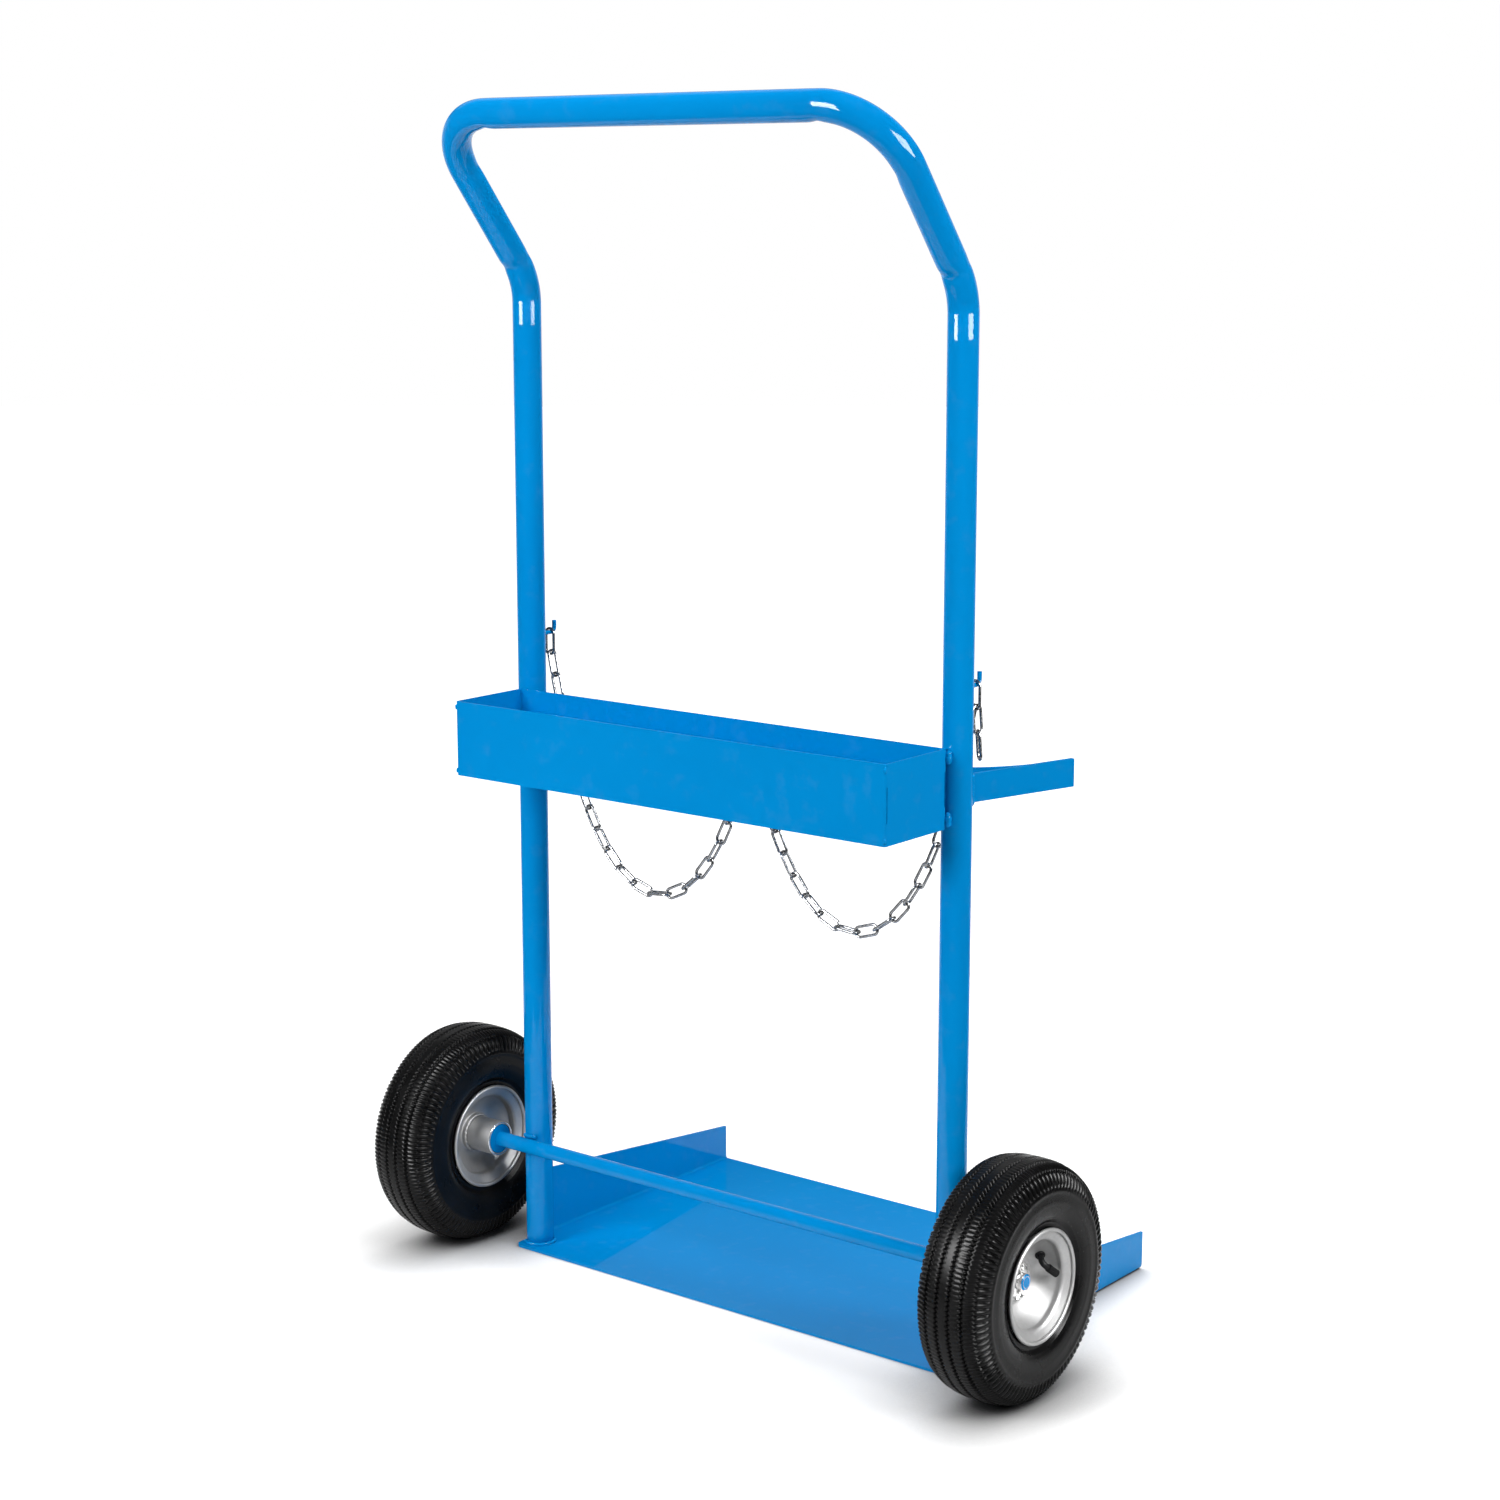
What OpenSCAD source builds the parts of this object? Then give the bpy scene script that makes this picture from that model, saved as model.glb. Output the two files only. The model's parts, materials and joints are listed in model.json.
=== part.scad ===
// Two-wheeled trolley for a pair of gas cylinders.
// Millimetres, +Z up. X runs across the trolley, -Y faces the operator and +Y faces the cylinders.
// The origin lies on the floor, midway between the axes of the two uprights.

/* [Frame tube] */
// Spacing of the two uprights, axis to axis
upright_spacing = 582; // [480:1:660]
// Outside diameter of the frame tube
tube_d = 31.8; // [28:0.1:36]
// Wall of the frame tube
tube_wall = 2; // [1.2:0.1:3]
// Height of the knee where the uprights lean back, measured where the centre lines cross
knee_z = 1121.5; // [1050:0.5:1180]
// Height of the handle bar's centre line
handle_z = 1295.5; // [1270:0.5:1400]
// Distance that the handle bar stands back from the uprights
handle_set_back = 140; // [110:1:180]
// Centre-line radius of the four tube bends
bend_r = 75; // [60:1:85]

/* [Base plate] */
// Reach of the plate past the outer faces of the uprights, to the outer faces of its flanges
plate_margin = 1.1; // [0.5:0.1:40]
// Reach of the plate on the operator's side of the uprights
plate_front = 25.5; // [22:0.5:40]
// Reach of the plate on the cylinders' side of the uprights
plate_back = 367; // [300:1:420]
// Thickness of the plate
plate_t = 3; // [2:0.5:5]
// Inside radius where the flanges bend up
plate_bend_r = 3; // [2:0.5:5]
// Radius of the plate's two corners on the operator's side
plate_corner_r = 9; // [4:0.5:14]
// Gap between the uprights and the near ends of the flanges
flange_gap = 0.5; // [0.3:0.1:6]
// Flange height beside the uprights
flange_near_h = 82.5; // [60:0.5:100]
// Flange height at the far edge
flange_far_h = 45; // [30:0.5:60]

/* [Axle] */
// Diameter of the axle bar
axle_d = 17; // [15:0.5:20]
// Length of axle past the hub at each end
axle_stub = 11; // [9:0.5:20]
// Chamfer at the axle ends
axle_chamfer = 1.2; // [0.4:0.1:2.5]
// Diameter of the collars that locate the hubs
collar_d = 33.5; // [28:0.1:34.5]
// Thickness of the collars
collar_t = 4; // [2:0.5:6]
// Diameter of the washers outside the hubs
washer_d = 34; // [26:0.5:34.5]
// Thickness of the washers
washer_t = 2.5; // [1.5:0.1:3.5]
// Wire diameter of the split pins
pin_d = 3.2; // [2.4:0.1:4]

/* [Wheel] */
// Diameter of the tyre
wheel_d = 254; // [248:1:280]
// Width of the tyre
tyre_w = 82; // [76:1:92]
// Spacing of the two tyres, centre to centre
wheel_track = 766; // [740:1:860]
// Height of the tyre's section above its widest part
tyre_rise = 35; // [30:0.5:40]
// Wall of the tyre at its sides
tyre_side_wall = 6.5; // [5:0.5:9]
// Wall of the tyre under its tread
tyre_crown_wall = 9; // [8:0.5:13]
// Wall of the inner tube
inner_tube_wall = 2; // [1:0.5:3]
// Grooves around the tread
tread_grooves = 4; // [3:1:6]
// Spacing of the tread grooves
groove_pitch = 14; // [8:0.5:15]
// Depth of the tread grooves
groove_depth = 3.5; // [1.5:0.5:5]
// Width of the tread grooves
groove_w = 3; // [1.5:0.5:5]
// Diameter of the rim's bead seats
bead_seat_d = 100; // [94:0.5:104]
// Width of the rim over its lips
rim_w = 74; // [66:0.5:80]
// Height of the rim lips above the bead seats
rim_lip_h = 8.5; // [6:0.5:12]
// Flare of the rim lips from the bead seats to their edges
rim_flare = 5; // [3:0.5:6]
// Radius of the rolled edge on the rim lips
rim_roll_r = 2.2; // [1.5:0.1:3]
// Sheet thickness of the rim and its dishes
rim_t = 2; // [1.5:0.1:3]
// Diameter of the rim's drop centre
drop_centre_d = 92; // [86:0.5:95]
// Diameter of the hub tube
hub_d = 40; // [39:0.5:44]
// Length of the hub tube
hub_len = 60; // [52:1:80]
// Length of hub that stands inboard of the tyre's centre plane
hub_inboard = 53; // [46:0.5:60]
// Place of the outer dish at the hub, from the tyre's centre plane outwards
dish_outer_hub = 3; // [1:0.5:6]
// Distance of the outer dish from the rim's outer edge
dish_outer_set = 12; // [10:0.5:14]
// Place of the inner dish at the hub, from the tyre's centre plane inwards
dish_inner_hub = 12; // [11:0.5:16]
// Distance of the inner dish from the rim's inner edge
dish_inner_set = 14; // [12:0.5:14.5]

/* [Bearings] */
// Outside diameter of the ball bearings
bearing_d = 35; // [34.8:0.1:36]
// Width of the ball bearings
bearing_w = 10; // [9:0.5:12]
// Diameter of the balls
ball_d = 4.76; // [4:0.01:5.2]
// Balls in each bearing
ball_count = 10; // [7:1:11]

/* [Valve] */
// Distance of the stem's bend from the axle
valve_r = 28; // [26.5:0.5:29.5]
// Angle of the valve above the level line that points at the cylinders
valve_angle = 29; // [0:1:90]
// Lean of the stem from the axle's direction towards the axle
valve_lean = 50; // [46:1:54]
// Diameter of the rubber valve stem
valve_d = 6.5; // [5:0.5:7]
// Bend radius of the valve stem
valve_bend_r = 5; // [4.5:0.5:6]
// Turn of the stem's outer leg around the stem
valve_turn = 62; // [50:1:75]
// Place of the stem's bend, from the tyre's centre plane outwards
valve_out = 21; // [20:0.5:23]
// Length of the stem's outer leg up to its cap
valve_leg = 4; // [2:0.5:4.5]
// Diameter of the valve cap
cap_d = 8.4; // [7.4:0.1:9]
// Length of the valve cap
cap_len = 13; // [8:0.5:13.5]

/* [Tool tray] */
// Height of the tray's rim above the floor
tray_top_z = 665.5; // [655:0.5:690]
// Height of the tray
tray_h = 83; // [70:0.5:110]
// Depth of the tray, operator's side to uprights
tray_depth = 106; // [80:1:150]
// Sheet thickness of the tray
tray_t = 2; // [1.2:0.1:3]
// Outside radius of the tray's folded corners
tray_fold_r = 3; // [2:0.5:5]
// Gap between the tray and the uprights, bridged by the welds
tray_gap = 3; // [1.5:0.5:5]
// Width of the open seam at the tray's welded corners
seam_w = 1.2; // [0.5:0.1:1.8]

/* [Cylinder rest] */
// Height of the cylinder rest's upper edge
rest_top_z = 632; // [625:0.5:640]
// Height of the flat bar that makes the cylinder rest
rest_bar_h = 30; // [24:0.5:36]
// Thickness of that flat bar
rest_bar_t = 5; // [3:0.5:6]
// Inside radius of the band's two curved ends
band_r = 150; // [140:1:165]
// Half of the straight stretch in the middle of the band
band_straight = 171; // [160:1:176]
// Outward splay of the two side arms
arm_splay = 15.9; // [10:0.1:20]
// Reach of the side arms past the axes of the uprights
arm_reach = 163; // [150:1:185]
// Reach of the left side arm, which stays hidden behind the tray
arm_reach_left = 124; // [110:1:185]

/* [Chains] */
// Wire diameter of the chain links
wire_d = 3.2; // [2.8:0.1:3.4]
// Inside length of a chain link
link_len = 26.5; // [24:0.5:28]
// Inside width of a chain link
link_w = 8; // [7.6:0.1:9]
// Clearance between two chain links that hang in each other
link_gap = 0.4; // [0.3:0.05:0.6]
// Links between the link on the hook and the centre staple, always an odd number
hanging_links = 21; // [19:2:25]
// Links in the loose end that hangs from the right hook
tail_links = 2; // [1:1:3]
// Rod diameter of the chain hooks
hook_d = 5; // [4:0.1:6]
// Height of the rod's centre line where the chain hangs
hook_z = 724; // [716:0.5:740]
// Distance of the hook's upright tip from the axis of the frame tube
hook_reach = 38; // [34:0.5:42]
// Height of the hook's tip above its rod
hook_tip = 13; // [12:0.5:22]
// Bend radius of the hook
hook_bend_r = 6; // [5:0.5:7]
// Rod diameter of the centre staple
staple_d = 6; // [5:0.1:6.6]
// Height of the staple above the lower edge of the cylinder rest
staple_rise = 5; // [4:0.5:14]
// Distance that the staple stands out from the band
staple_reach = 12; // [10:0.5:16]
// Half of the staple's width, to the axis of each leg
staple_half_w = 16; // [14:0.5:22]

/* [Welds and clearances] */
// Leg of the weld fillets
weld_leg = 4; // [2:0.5:4.5]
// Radius of the short weld beads
weld_bead_r = 3.5; // [2.5:0.5:4.5]
// Axial clearance between turning and fixed faces of the wheels
wheel_gap = 0.3; // [0.2:0.05:0.5]
// Radial clearance between the balls and their inner races
race_gap = 0.05; // [0.02:0.01:0.1]
// Radial clearance of a plain fit, such as the inner rings on the axle
fit_gap = 0.03; // [0.01:0.01:0.1]
// Clearance of parts that lie loosely against each other, such as a chain link on its hook
rest_gap = 0.3; // [0.2:0.05:0.5]

/* [Hidden] */
$fn = 64;

paint = "dodgerblue";
zinc = "silver";
bright = "gainsboro";
rubber = "dimgray";
left = -1;
right = 1;
past = 1; // overshoot of a cutting tool past the face that it opens

tube_r = tube_d / 2;
upright_x = upright_spacing / 2;
lean = atan2(handle_set_back, handle_z - knee_z);
knee_tangent = bend_r * tan(lean / 2);
knee_start_z = knee_z - knee_tangent;
slant_len = norm([handle_set_back, handle_z - knee_z]) - knee_tangent - bend_r;
corner_bar_x = upright_x - bend_r;
mark_w = tube_d / 20;
mark_h = tube_d / 320;
mark_turn = mark_w / 4 / bend_r * 180 / PI;

plate_w = upright_spacing + tube_d + 2 * plate_margin;
plate_half = plate_w / 2;
flange_start = tube_r + flange_gap;
plate_bend_out = plate_bend_r + plate_t;

axle_r = axle_d / 2;
axle_z = wheel_d / 2;
axle_y = -(tube_r + axle_r);
hub_in_x = wheel_track / 2 - hub_inboard;
hub_out_x = hub_in_x + hub_len;
axle_half = hub_out_x + axle_stub;
pin_x = hub_out_x + washer_t + pin_d / 2 + rest_gap;

// Places along the wheel's axis are measured from the tyre's centre plane, outwards.
hub_in = -hub_inboard;
hub_out = hub_len - hub_inboard;
bearing_in = hub_in + collar_t + wheel_gap;
bearing_out = hub_out - wheel_gap - bearing_w;
bearing_starts = [bearing_in, bearing_out];
ball_ring_r = (axle_r + bearing_d / 2) / 2;
race_wall = 0.3 * (bearing_d / 2 - axle_r);
hub_bore_r = bearing_d / 2 - 2;

bead_r = bead_seat_d / 2;
drop_r = drop_centre_d / 2;
lip_r = bead_r + rim_lip_h;
lip_in = rim_w / 2 - rim_t;
bead_w = 0.2 * rim_w;
drop_half_w = 0.175 * rim_w;
dish_r = bead_r - rim_t;
dish_neck = 2 * rim_t;
dish_skirt = 3 * rim_t;
dish_curve = 1.8;
dish_steps = 14;

valve_stem_len = (bead_r - valve_r) / sin(valve_lean);

tyre_r = wheel_d / 2;
tyre_mid_r = tyre_r - tyre_rise;
tyre_steps = 22;
bead_toe = 0.12 * rim_w;
bead_h = 0.7 * rim_lip_h;

dish_outer_rim = rim_w / 2 - dish_outer_set;
dish_inner_rim = rim_w / 2 - dish_inner_set;

tray_back_y = -(tube_r + tray_gap);
tray_front_y = tray_back_y - tray_depth;
tray_bottom_z = tray_top_z - tray_h;
seam_margin = 0.28 * tray_h;

rest_bottom_z = rest_top_z - rest_bar_h;
band_front_y = tube_r + rest_bar_t;
arm_dir = [sin(arm_splay), cos(arm_splay)];
arm_root = [upright_x - 0.28 * tube_r, tube_r - 0.5];
arm_len = (max(arm_reach, arm_reach_left) - arm_root[1]) / cos(arm_splay);

hook_run_y = hook_reach - hook_d / 2 - rest_gap;
chain_y = hook_run_y - wire_d / 2 - hook_bend_r / 2;
staple_y = band_front_y + staple_reach;
staple_z = rest_bottom_z + staple_rise;
staple_bend_r = staple_d;
chain_end_x = 0.375 * staple_half_w;

// Chain links follow the shape of a hanging chain: the slope grows by the same step from link to link.
link_r = link_w / 2;
link_mid_r = link_r + wire_d / 2;
link_straight = link_len - link_w;
link_step = link_len - link_gap;
hook_top_z = hook_z + hook_d / 2;
hook_link_z = hook_top_z + rest_gap - link_len / 2;
low_arc_z = hook_link_z - link_straight / 2;
pair_offset = wire_d / 2 + 0.6 * link_gap;
seat_r = link_r - wire_d / 2 - rest_gap;
pair_z = low_arc_z - sqrt(max(seat_r * seat_r - pair_offset * pair_offset, 0));
chain_run = [chain_end_x - upright_x, staple_y - chain_y];
chain_turn = atan2(chain_run[1], chain_run[0]);
chain_end = [norm(chain_run), staple_z + staple_d / 2 + rest_gap];
half_contact = (wire_d + link_gap) / 2;
search_steps = 36;
tail_turn = 8;
tail_step = 58;
tail_lean = 5;

function total(v) = v * [for (x = v) 1];
function slopes(a, i0) = [for (i = [1 : hanging_links]) a * (i - i0)];
function runs(t) = [for (x = t) 1 / sqrt(1 + x * x)];
function rises(t) = [for (x = t) x / sqrt(1 + x * x)];
function low_link(a, rise, lo, hi, k) =
    let (m = (lo + hi) / 2)
    k == 0 ? m
    : total(rises(slopes(a, m))) > rise ? low_link(a, rise, m, hi, k - 1)
    : low_link(a, rise, lo, m, k - 1);
function chain_slopes(a, rise) = slopes(a, low_link(a, rise, -hanging_links, 2 * hanging_links, search_steps));
function slope_step(run, rise, lo, hi, k) =
    let (m = (lo + hi) / 2)
    k == 0 ? m
    : total(runs(chain_slopes(m, rise))) > run ? slope_step(run, rise, m, hi, k - 1)
    : slope_step(run, rise, lo, m, k - 1);
function hang(start) =
    let (span = (chain_end - start) / link_step)
    [for (x = chain_slopes(slope_step(span[0], span[1], 0.01, 4, search_steps), span[1])) atan(x)];
function along(angle) = [cos(angle), sin(angle)];
first_seat = [pair_offset, pair_z];
first_guess = hang(first_seat + half_contact * along(-77));
chain_start = first_seat + half_contact * along(first_guess[0]);
link_angles = hang(chain_start);
joints = [for (i = 0, p = chain_start; i <= hanging_links;
    p = p + link_step * along(link_angles[min(i, hanging_links - 1)]), i = i + 1) p];
echo(chain_low_z = min([for (p = joints) p[1]]), chain_end_error = joints[hanging_links] - chain_end);

// A point on the tyre's outline, inset by a wall: a squared-off oval around the middle of the section.
function tyre_point(t, side_in, crown_in) = [
    tyre_mid_r + sign(sin(t)) * (tyre_rise - crown_in) * pow(abs(sin(t)), 0.6),
    (tyre_w / 2 - side_in) * pow(abs(cos(t)), 0.75)];
function flip(points) = [for (i = [len(points) - 1 : -1 : 0]) [points[i][0], -points[i][1]]];
function tyre_flank(side_in, crown_in, low) =
    [for (i = [0 : tyre_steps]) tyre_point(low + (90 - low) * i / tyre_steps, side_in, crown_in)];
// Distance of a dish from the tyre's centre plane at radius r: flat at the hub, steeper towards the rim.
function dish_place(r, at_hub, at_rim) =
    let (neck = hub_d / 2 + dish_neck)
    at_hub + (at_rim - at_hub) * pow(max(r - neck, 0) / (dish_r - rim_t - neck), dish_curve);

module right_and_left() {
    children();
    mirror([1, 0, 0]) children();
}

module on_side(side) {
    if (side == right) children();
    else mirror([1, 0, 0]) children();
}

module bar_x(r, from, to) {
    translate([from, 0, 0]) rotate([0, 90, 0]) cylinder(r = r, h = to - from);
}

module bar_y(r, from, to) {
    translate([0, from, 0]) rotate([-90, 0, 0]) cylinder(r = r, h = to - from);
}

module uprights_solid(r = tube_r) {
    for (x = [-upright_x, upright_x]) translate([x, 0, plate_t]) cylinder(r = r, h = knee_start_z - plate_t);
}

// One half of the bent tube, as a solid rod of radius r along the centre line, each stretch from the last.
// The bender leaves a faint ring where the knee ends.
module half_run(r, cut) {
    translate([upright_x, 0, plate_t - cut]) cylinder(r = r, h = knee_start_z - plate_t + cut);
    translate([upright_x, -bend_r, knee_start_z]) {
        rotate([90, 0, 90]) rotate_extrude(angle = lean - mark_turn) translate([bend_r, 0]) circle(r);
        rotate([lean, 0, 0]) translate([0, bend_r, 0]) {
            translate([0, 0, -mark_w / 2]) cylinder(r = r + mark_h, h = mark_w);
            translate([0, 0, mark_w / 4]) cylinder(r = r, h = slant_len - mark_w / 4);
            translate([-bend_r, 0, slant_len]) {
                rotate([90, 0, 0]) rotate_extrude(angle = 90) translate([bend_r, 0]) circle(r);
                translate([0, 0, bend_r]) bar_x(r, -corner_bar_x - past, 0);
            }
        }
    }
}

module tube_run(r, cut = 0) {
    right_and_left() half_run(r, cut);
}

module handle_frame() {
    color(paint) difference() {
        tube_run(tube_r);
        tube_run(tube_r - tube_wall, past);
    }
}

module cross_tube_solid(r) {
    translate([0, 0, rest_bottom_z + rest_bar_h / 2]) bar_x(r, -upright_x, upright_x);
}

module cross_tube() {
    color(paint) difference() {
        cross_tube_solid(tube_r);
        cross_tube_solid(tube_r - tube_wall);
        uprights_solid();
    }
}

module plate_outline() {
    corner_x = plate_half - plate_corner_r;
    corner_y = plate_corner_r - plate_front;
    translate([-plate_half, corner_y]) square([plate_w, flange_start - corner_y]);
    translate([-corner_x, -plate_front]) square([2 * corner_x, plate_corner_r]);
    for (x = [-corner_x, corner_x]) translate([x, corner_y]) circle(plate_corner_r);
    translate([plate_bend_out - plate_half, 0]) square([plate_w - 2 * plate_bend_out, plate_back]);
}

module side_flange() {
    translate([plate_half - plate_bend_out, plate_back, plate_bend_out]) rotate([90, 0, 0])
        linear_extrude(plate_back - flange_start) intersection() {
            difference() {
                circle(plate_bend_out);
                circle(plate_bend_r);
            }
            translate([0, -plate_bend_out]) square(plate_bend_out);
        }
    translate([plate_half - plate_t, 0, 0]) rotate([90, 0, 90]) linear_extrude(plate_t)
        polygon([[flange_start, plate_bend_out], [plate_back, plate_bend_out],
            [plate_back, flange_far_h], [flange_start, flange_near_h]]);
}

module base_plate() {
    color(paint) {
        linear_extrude(plate_t) plate_outline();
        right_and_left() side_flange();
    }
}

module at_axle() {
    translate([0, axle_y, axle_z]) children();
}

module axle() {
    color(paint) at_axle() difference() {
        rotate([0, 90, 0]) rotate_extrude() polygon([[0, -axle_half], [axle_r - axle_chamfer, -axle_half],
            [axle_r, axle_chamfer - axle_half], [axle_r, axle_half - axle_chamfer],
            [axle_r - axle_chamfer, axle_half], [0, axle_half]]);
        for (x = [-pin_x, pin_x]) translate([x, 0, -axle_r - past])
            cylinder(r = pin_d / 2 + fit_gap, h = axle_d + 2 * past);
    }
}

// Flat ring on the axle that starts at x.
module axle_ring(x, r, bore_r, t) {
    translate([x, 0, 0]) rotate([0, 90, 0]) difference() {
        cylinder(r = r, h = t);
        translate([0, 0, -past]) cylinder(r = bore_r, h = t + 2 * past);
    }
}

module axle_collars() {
    color(paint) at_axle() right_and_left() axle_ring(hub_in_x, collar_d / 2, axle_r, collar_t);
}

module axle_washers() {
    color(bright) at_axle() right_and_left() axle_ring(hub_out_x, washer_d / 2, axle_r + rest_gap, washer_t);
}

// Split pin: a shank through the axle, a round eye on top and two legs bent apart underneath.
module split_pin() {
    eye_r = 1.1 * pin_d;
    leg_len = 3 * pin_d;
    translate([0, 0, -axle_r - pin_d]) cylinder(d = pin_d, h = axle_d + 2 * pin_d);
    translate([0, 0, axle_r + pin_d + eye_r]) rotate([0, 90, 0])
        rotate_extrude() translate([eye_r, 0]) circle(d = 0.75 * pin_d);
    for (turn = [-50, 50]) translate([0, 0, -axle_r - pin_d]) rotate([180 + turn, 0, 0])
        cylinder(d = 0.75 * pin_d, h = leg_len);
}

module split_pins() {
    color(bright) at_axle() right_and_left() translate([pin_x, 0, 0]) split_pin();
}

module in_wheel(side) {
    at_axle() on_side(side) translate([wheel_track / 2, 0, 0]) children();
}

module turned() {
    rotate([0, 90, 0]) rotate_extrude() children();
}

module ball_groove(gap) {
    translate([ball_ring_r, bearing_w / 2]) circle(ball_d / 2 + gap);
}

module bearing_inner_rings() {
    bore_r = axle_r + fit_gap;
    color(bright) for (side = [left, right]) in_wheel(side) for (start = bearing_starts)
        translate([start, 0, 0]) turned() difference() {
            translate([bore_r, -wheel_gap]) square([axle_r + race_wall - bore_r, bearing_w + 2 * wheel_gap]);
            ball_groove(race_gap);
        }
}

module bearing_outer_rings(side) {
    inner_r = bearing_d / 2 - race_wall;
    color(bright) in_wheel(side) for (start = bearing_starts) translate([start, 0, 0]) turned() difference() {
        translate([inner_r, 0]) square([race_wall, bearing_w]);
        ball_groove(fit_gap);
    }
}

module bearing_balls(side) {
    color(bright) in_wheel(side) for (start = bearing_starts) for (i = [0 : ball_count - 1])
        translate([start + bearing_w / 2, 0, 0]) rotate([i * 360 / ball_count, 0, 0])
            translate([0, ball_ring_r, 0]) sphere(d = ball_d);
}

module hub_tube(side) {
    color(zinc) in_wheel(side) turned() polygon([
        [bearing_d / 2, hub_in], [hub_d / 2, hub_in], [hub_d / 2, hub_out], [bearing_d / 2, hub_out],
        [bearing_d / 2, bearing_out], [hub_bore_r, bearing_out],
        [hub_bore_r, bearing_in + bearing_w], [bearing_d / 2, bearing_in + bearing_w]]);
}

// Rim: two bead seats with rolled lips and a drop centre between them, pierced for the valve.
module rim_section() {
    slope_w = lip_in - bead_w;
    seat_w = lip_in - rim_flare;
    face_w = rim_w / 2 - rim_flare;
    polygon([[lip_r, lip_in], [bead_r, seat_w], [bead_r, slope_w], [drop_r, drop_half_w],
        [drop_r, -drop_half_w], [bead_r, -slope_w], [bead_r, -seat_w], [lip_r, -lip_in],
        [lip_r, -rim_w / 2], [dish_r, -face_w], [dish_r, -slope_w], [drop_r - rim_t, -drop_half_w],
        [drop_r - rim_t, drop_half_w], [dish_r, slope_w], [dish_r, face_w], [lip_r, rim_w / 2]]);
}

module rim_lip_roll() {
    translate([lip_r, lip_in + rim_roll_r]) circle(rim_roll_r);
}

module valve_stem_hole() {
    valve_place() bar_x(valve_d / 2, -valve_stem_len, 0);
}

module rim_barrel(side) {
    color(zinc) in_wheel(side) {
        difference() {
            turned() rim_section();
            valve_stem_hole();
        }
        for (end = [0, 1]) mirror([end, 0, 0]) turned() rim_lip_roll();
    }
}

// Pressed dish between the hub and the rim, with a short neck on the hub and a skirt in the rim.
module dish_section(at_hub, at_rim) {
    neck_r = hub_d / 2;
    curve_r = neck_r + dish_neck;
    face = [for (i = [0 : dish_steps])
        let (r = curve_r + (dish_r - rim_t - curve_r) * i / dish_steps) [r, dish_place(r, at_hub, at_rim)]];
    back = [for (i = [dish_steps : -1 : 0]) [face[i][0] + rim_t * i / dish_steps, face[i][1] - rim_t]];
    polygon(concat([[neck_r, at_hub + dish_neck], [neck_r + rim_t, at_hub + dish_neck]], face,
        [[dish_r - rim_t, at_rim + dish_skirt], [dish_r, at_rim + dish_skirt]], back,
        [[neck_r, at_hub - rim_t]]));
}

module rim_dish_outer(side) {
    color(zinc) in_wheel(side) difference() {
        turned() dish_section(dish_outer_hub, dish_outer_rim);
        valve_stem_hole();
    }
}

module rim_dish_inner(side) {
    color(zinc) in_wheel(side) mirror([1, 0, 0]) turned() dish_section(dish_inner_hub, dish_inner_rim);
}

module tyre_section() {
    bead_out = lip_in - fit_gap;
    bead_low = bead_r + fit_gap;
    outer_low = -38;
    inner_low = -30;
    bead_seat = bead_out - rim_flare;
    outside = concat([[bead_low, bead_seat - bead_toe], [bead_low, bead_seat], [lip_r, bead_out]],
        tyre_flank(0, 0, outer_low));
    inside = concat([[bead_low + bead_h, bead_out - bead_toe]],
        tyre_flank(tyre_side_wall, tyre_crown_wall, inner_low));
    difference() {
        polygon(concat(outside, flip(outside)));
        polygon(concat([[bead_low - past, bead_seat - bead_toe]], inside, flip(inside),
            [[bead_low - past, bead_toe - bead_seat]]));
        for (i = [0 : tread_grooves - 1]) translate([tyre_r, (i - (tread_grooves - 1) / 2) * groove_pitch])
            square([2 * groove_depth, groove_w], center = true);
    }
}

module tyre(side) {
    color(rubber) in_wheel(side) turned() tyre_section();
}

// Oval section of the inner tube, inset by a wall: from the drop centre to the crown.
module tube_oval(inset) {
    top_r = tyre_r - tyre_crown_wall - rest_gap;
    low_r = drop_r + rest_gap;
    half_h = (top_r - low_r) / 2 - inset;
    half_w = tyre_w / 2 - tyre_side_wall - 2 * inner_tube_wall - inset;
    polygon([for (i = [0 : 31]) let (turn = i * 360 / 32)
        [(top_r + low_r) / 2 + half_h * cos(turn), half_w * sin(turn)]]);
}

module inner_tube(side) {
    color(rubber) in_wheel(side) turned() difference() {
        tube_oval(0);
        tube_oval(inner_tube_wall);
    }
}

// Bent valve stem: straight from the inner tube through rim and dish, then aside to its cap.
module valve_run() {
    valve_place() {
        bar_x(valve_d / 2, -valve_stem_len, -valve_bend_r);
        translate([-valve_bend_r, valve_bend_r, 0]) rotate([0, 0, -90]) rotate_extrude(angle = 90)
            translate([valve_bend_r, 0]) circle(d = valve_d);
        bar_y(valve_d / 2, valve_bend_r, valve_bend_r + valve_leg);
    }
}

module valve_stem(side) {
    color("black") in_wheel(side) intersection() {
        valve_run();
        bar_x(drop_r + rest_gap / 2, -rim_w / 2, rim_w);
    }
}

module valve_cap(side) {
    grips = 12;
    color("black") in_wheel(side) valve_place() difference() {
        bar_y(cap_d / 2, valve_bend_r + valve_leg, valve_bend_r + valve_leg + cap_len);
        for (i = [0 : grips - 1]) rotate([0, i * 360 / grips, 0]) translate([cap_d / 2, 0, 0])
            bar_y(0.4, valve_bend_r + valve_leg + 2, valve_bend_r + valve_leg + cap_len - 1.5);
    }
}

// Places the valve: X out along the stem, Y along its outer leg, origin at the corner of the bend.
module valve_place() {
    rotate([valve_angle, 0, 0]) translate([valve_out, valve_r, 0]) rotate([0, 0, -valve_lean])
        rotate([-valve_turn, 0, 0]) children();
}

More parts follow.
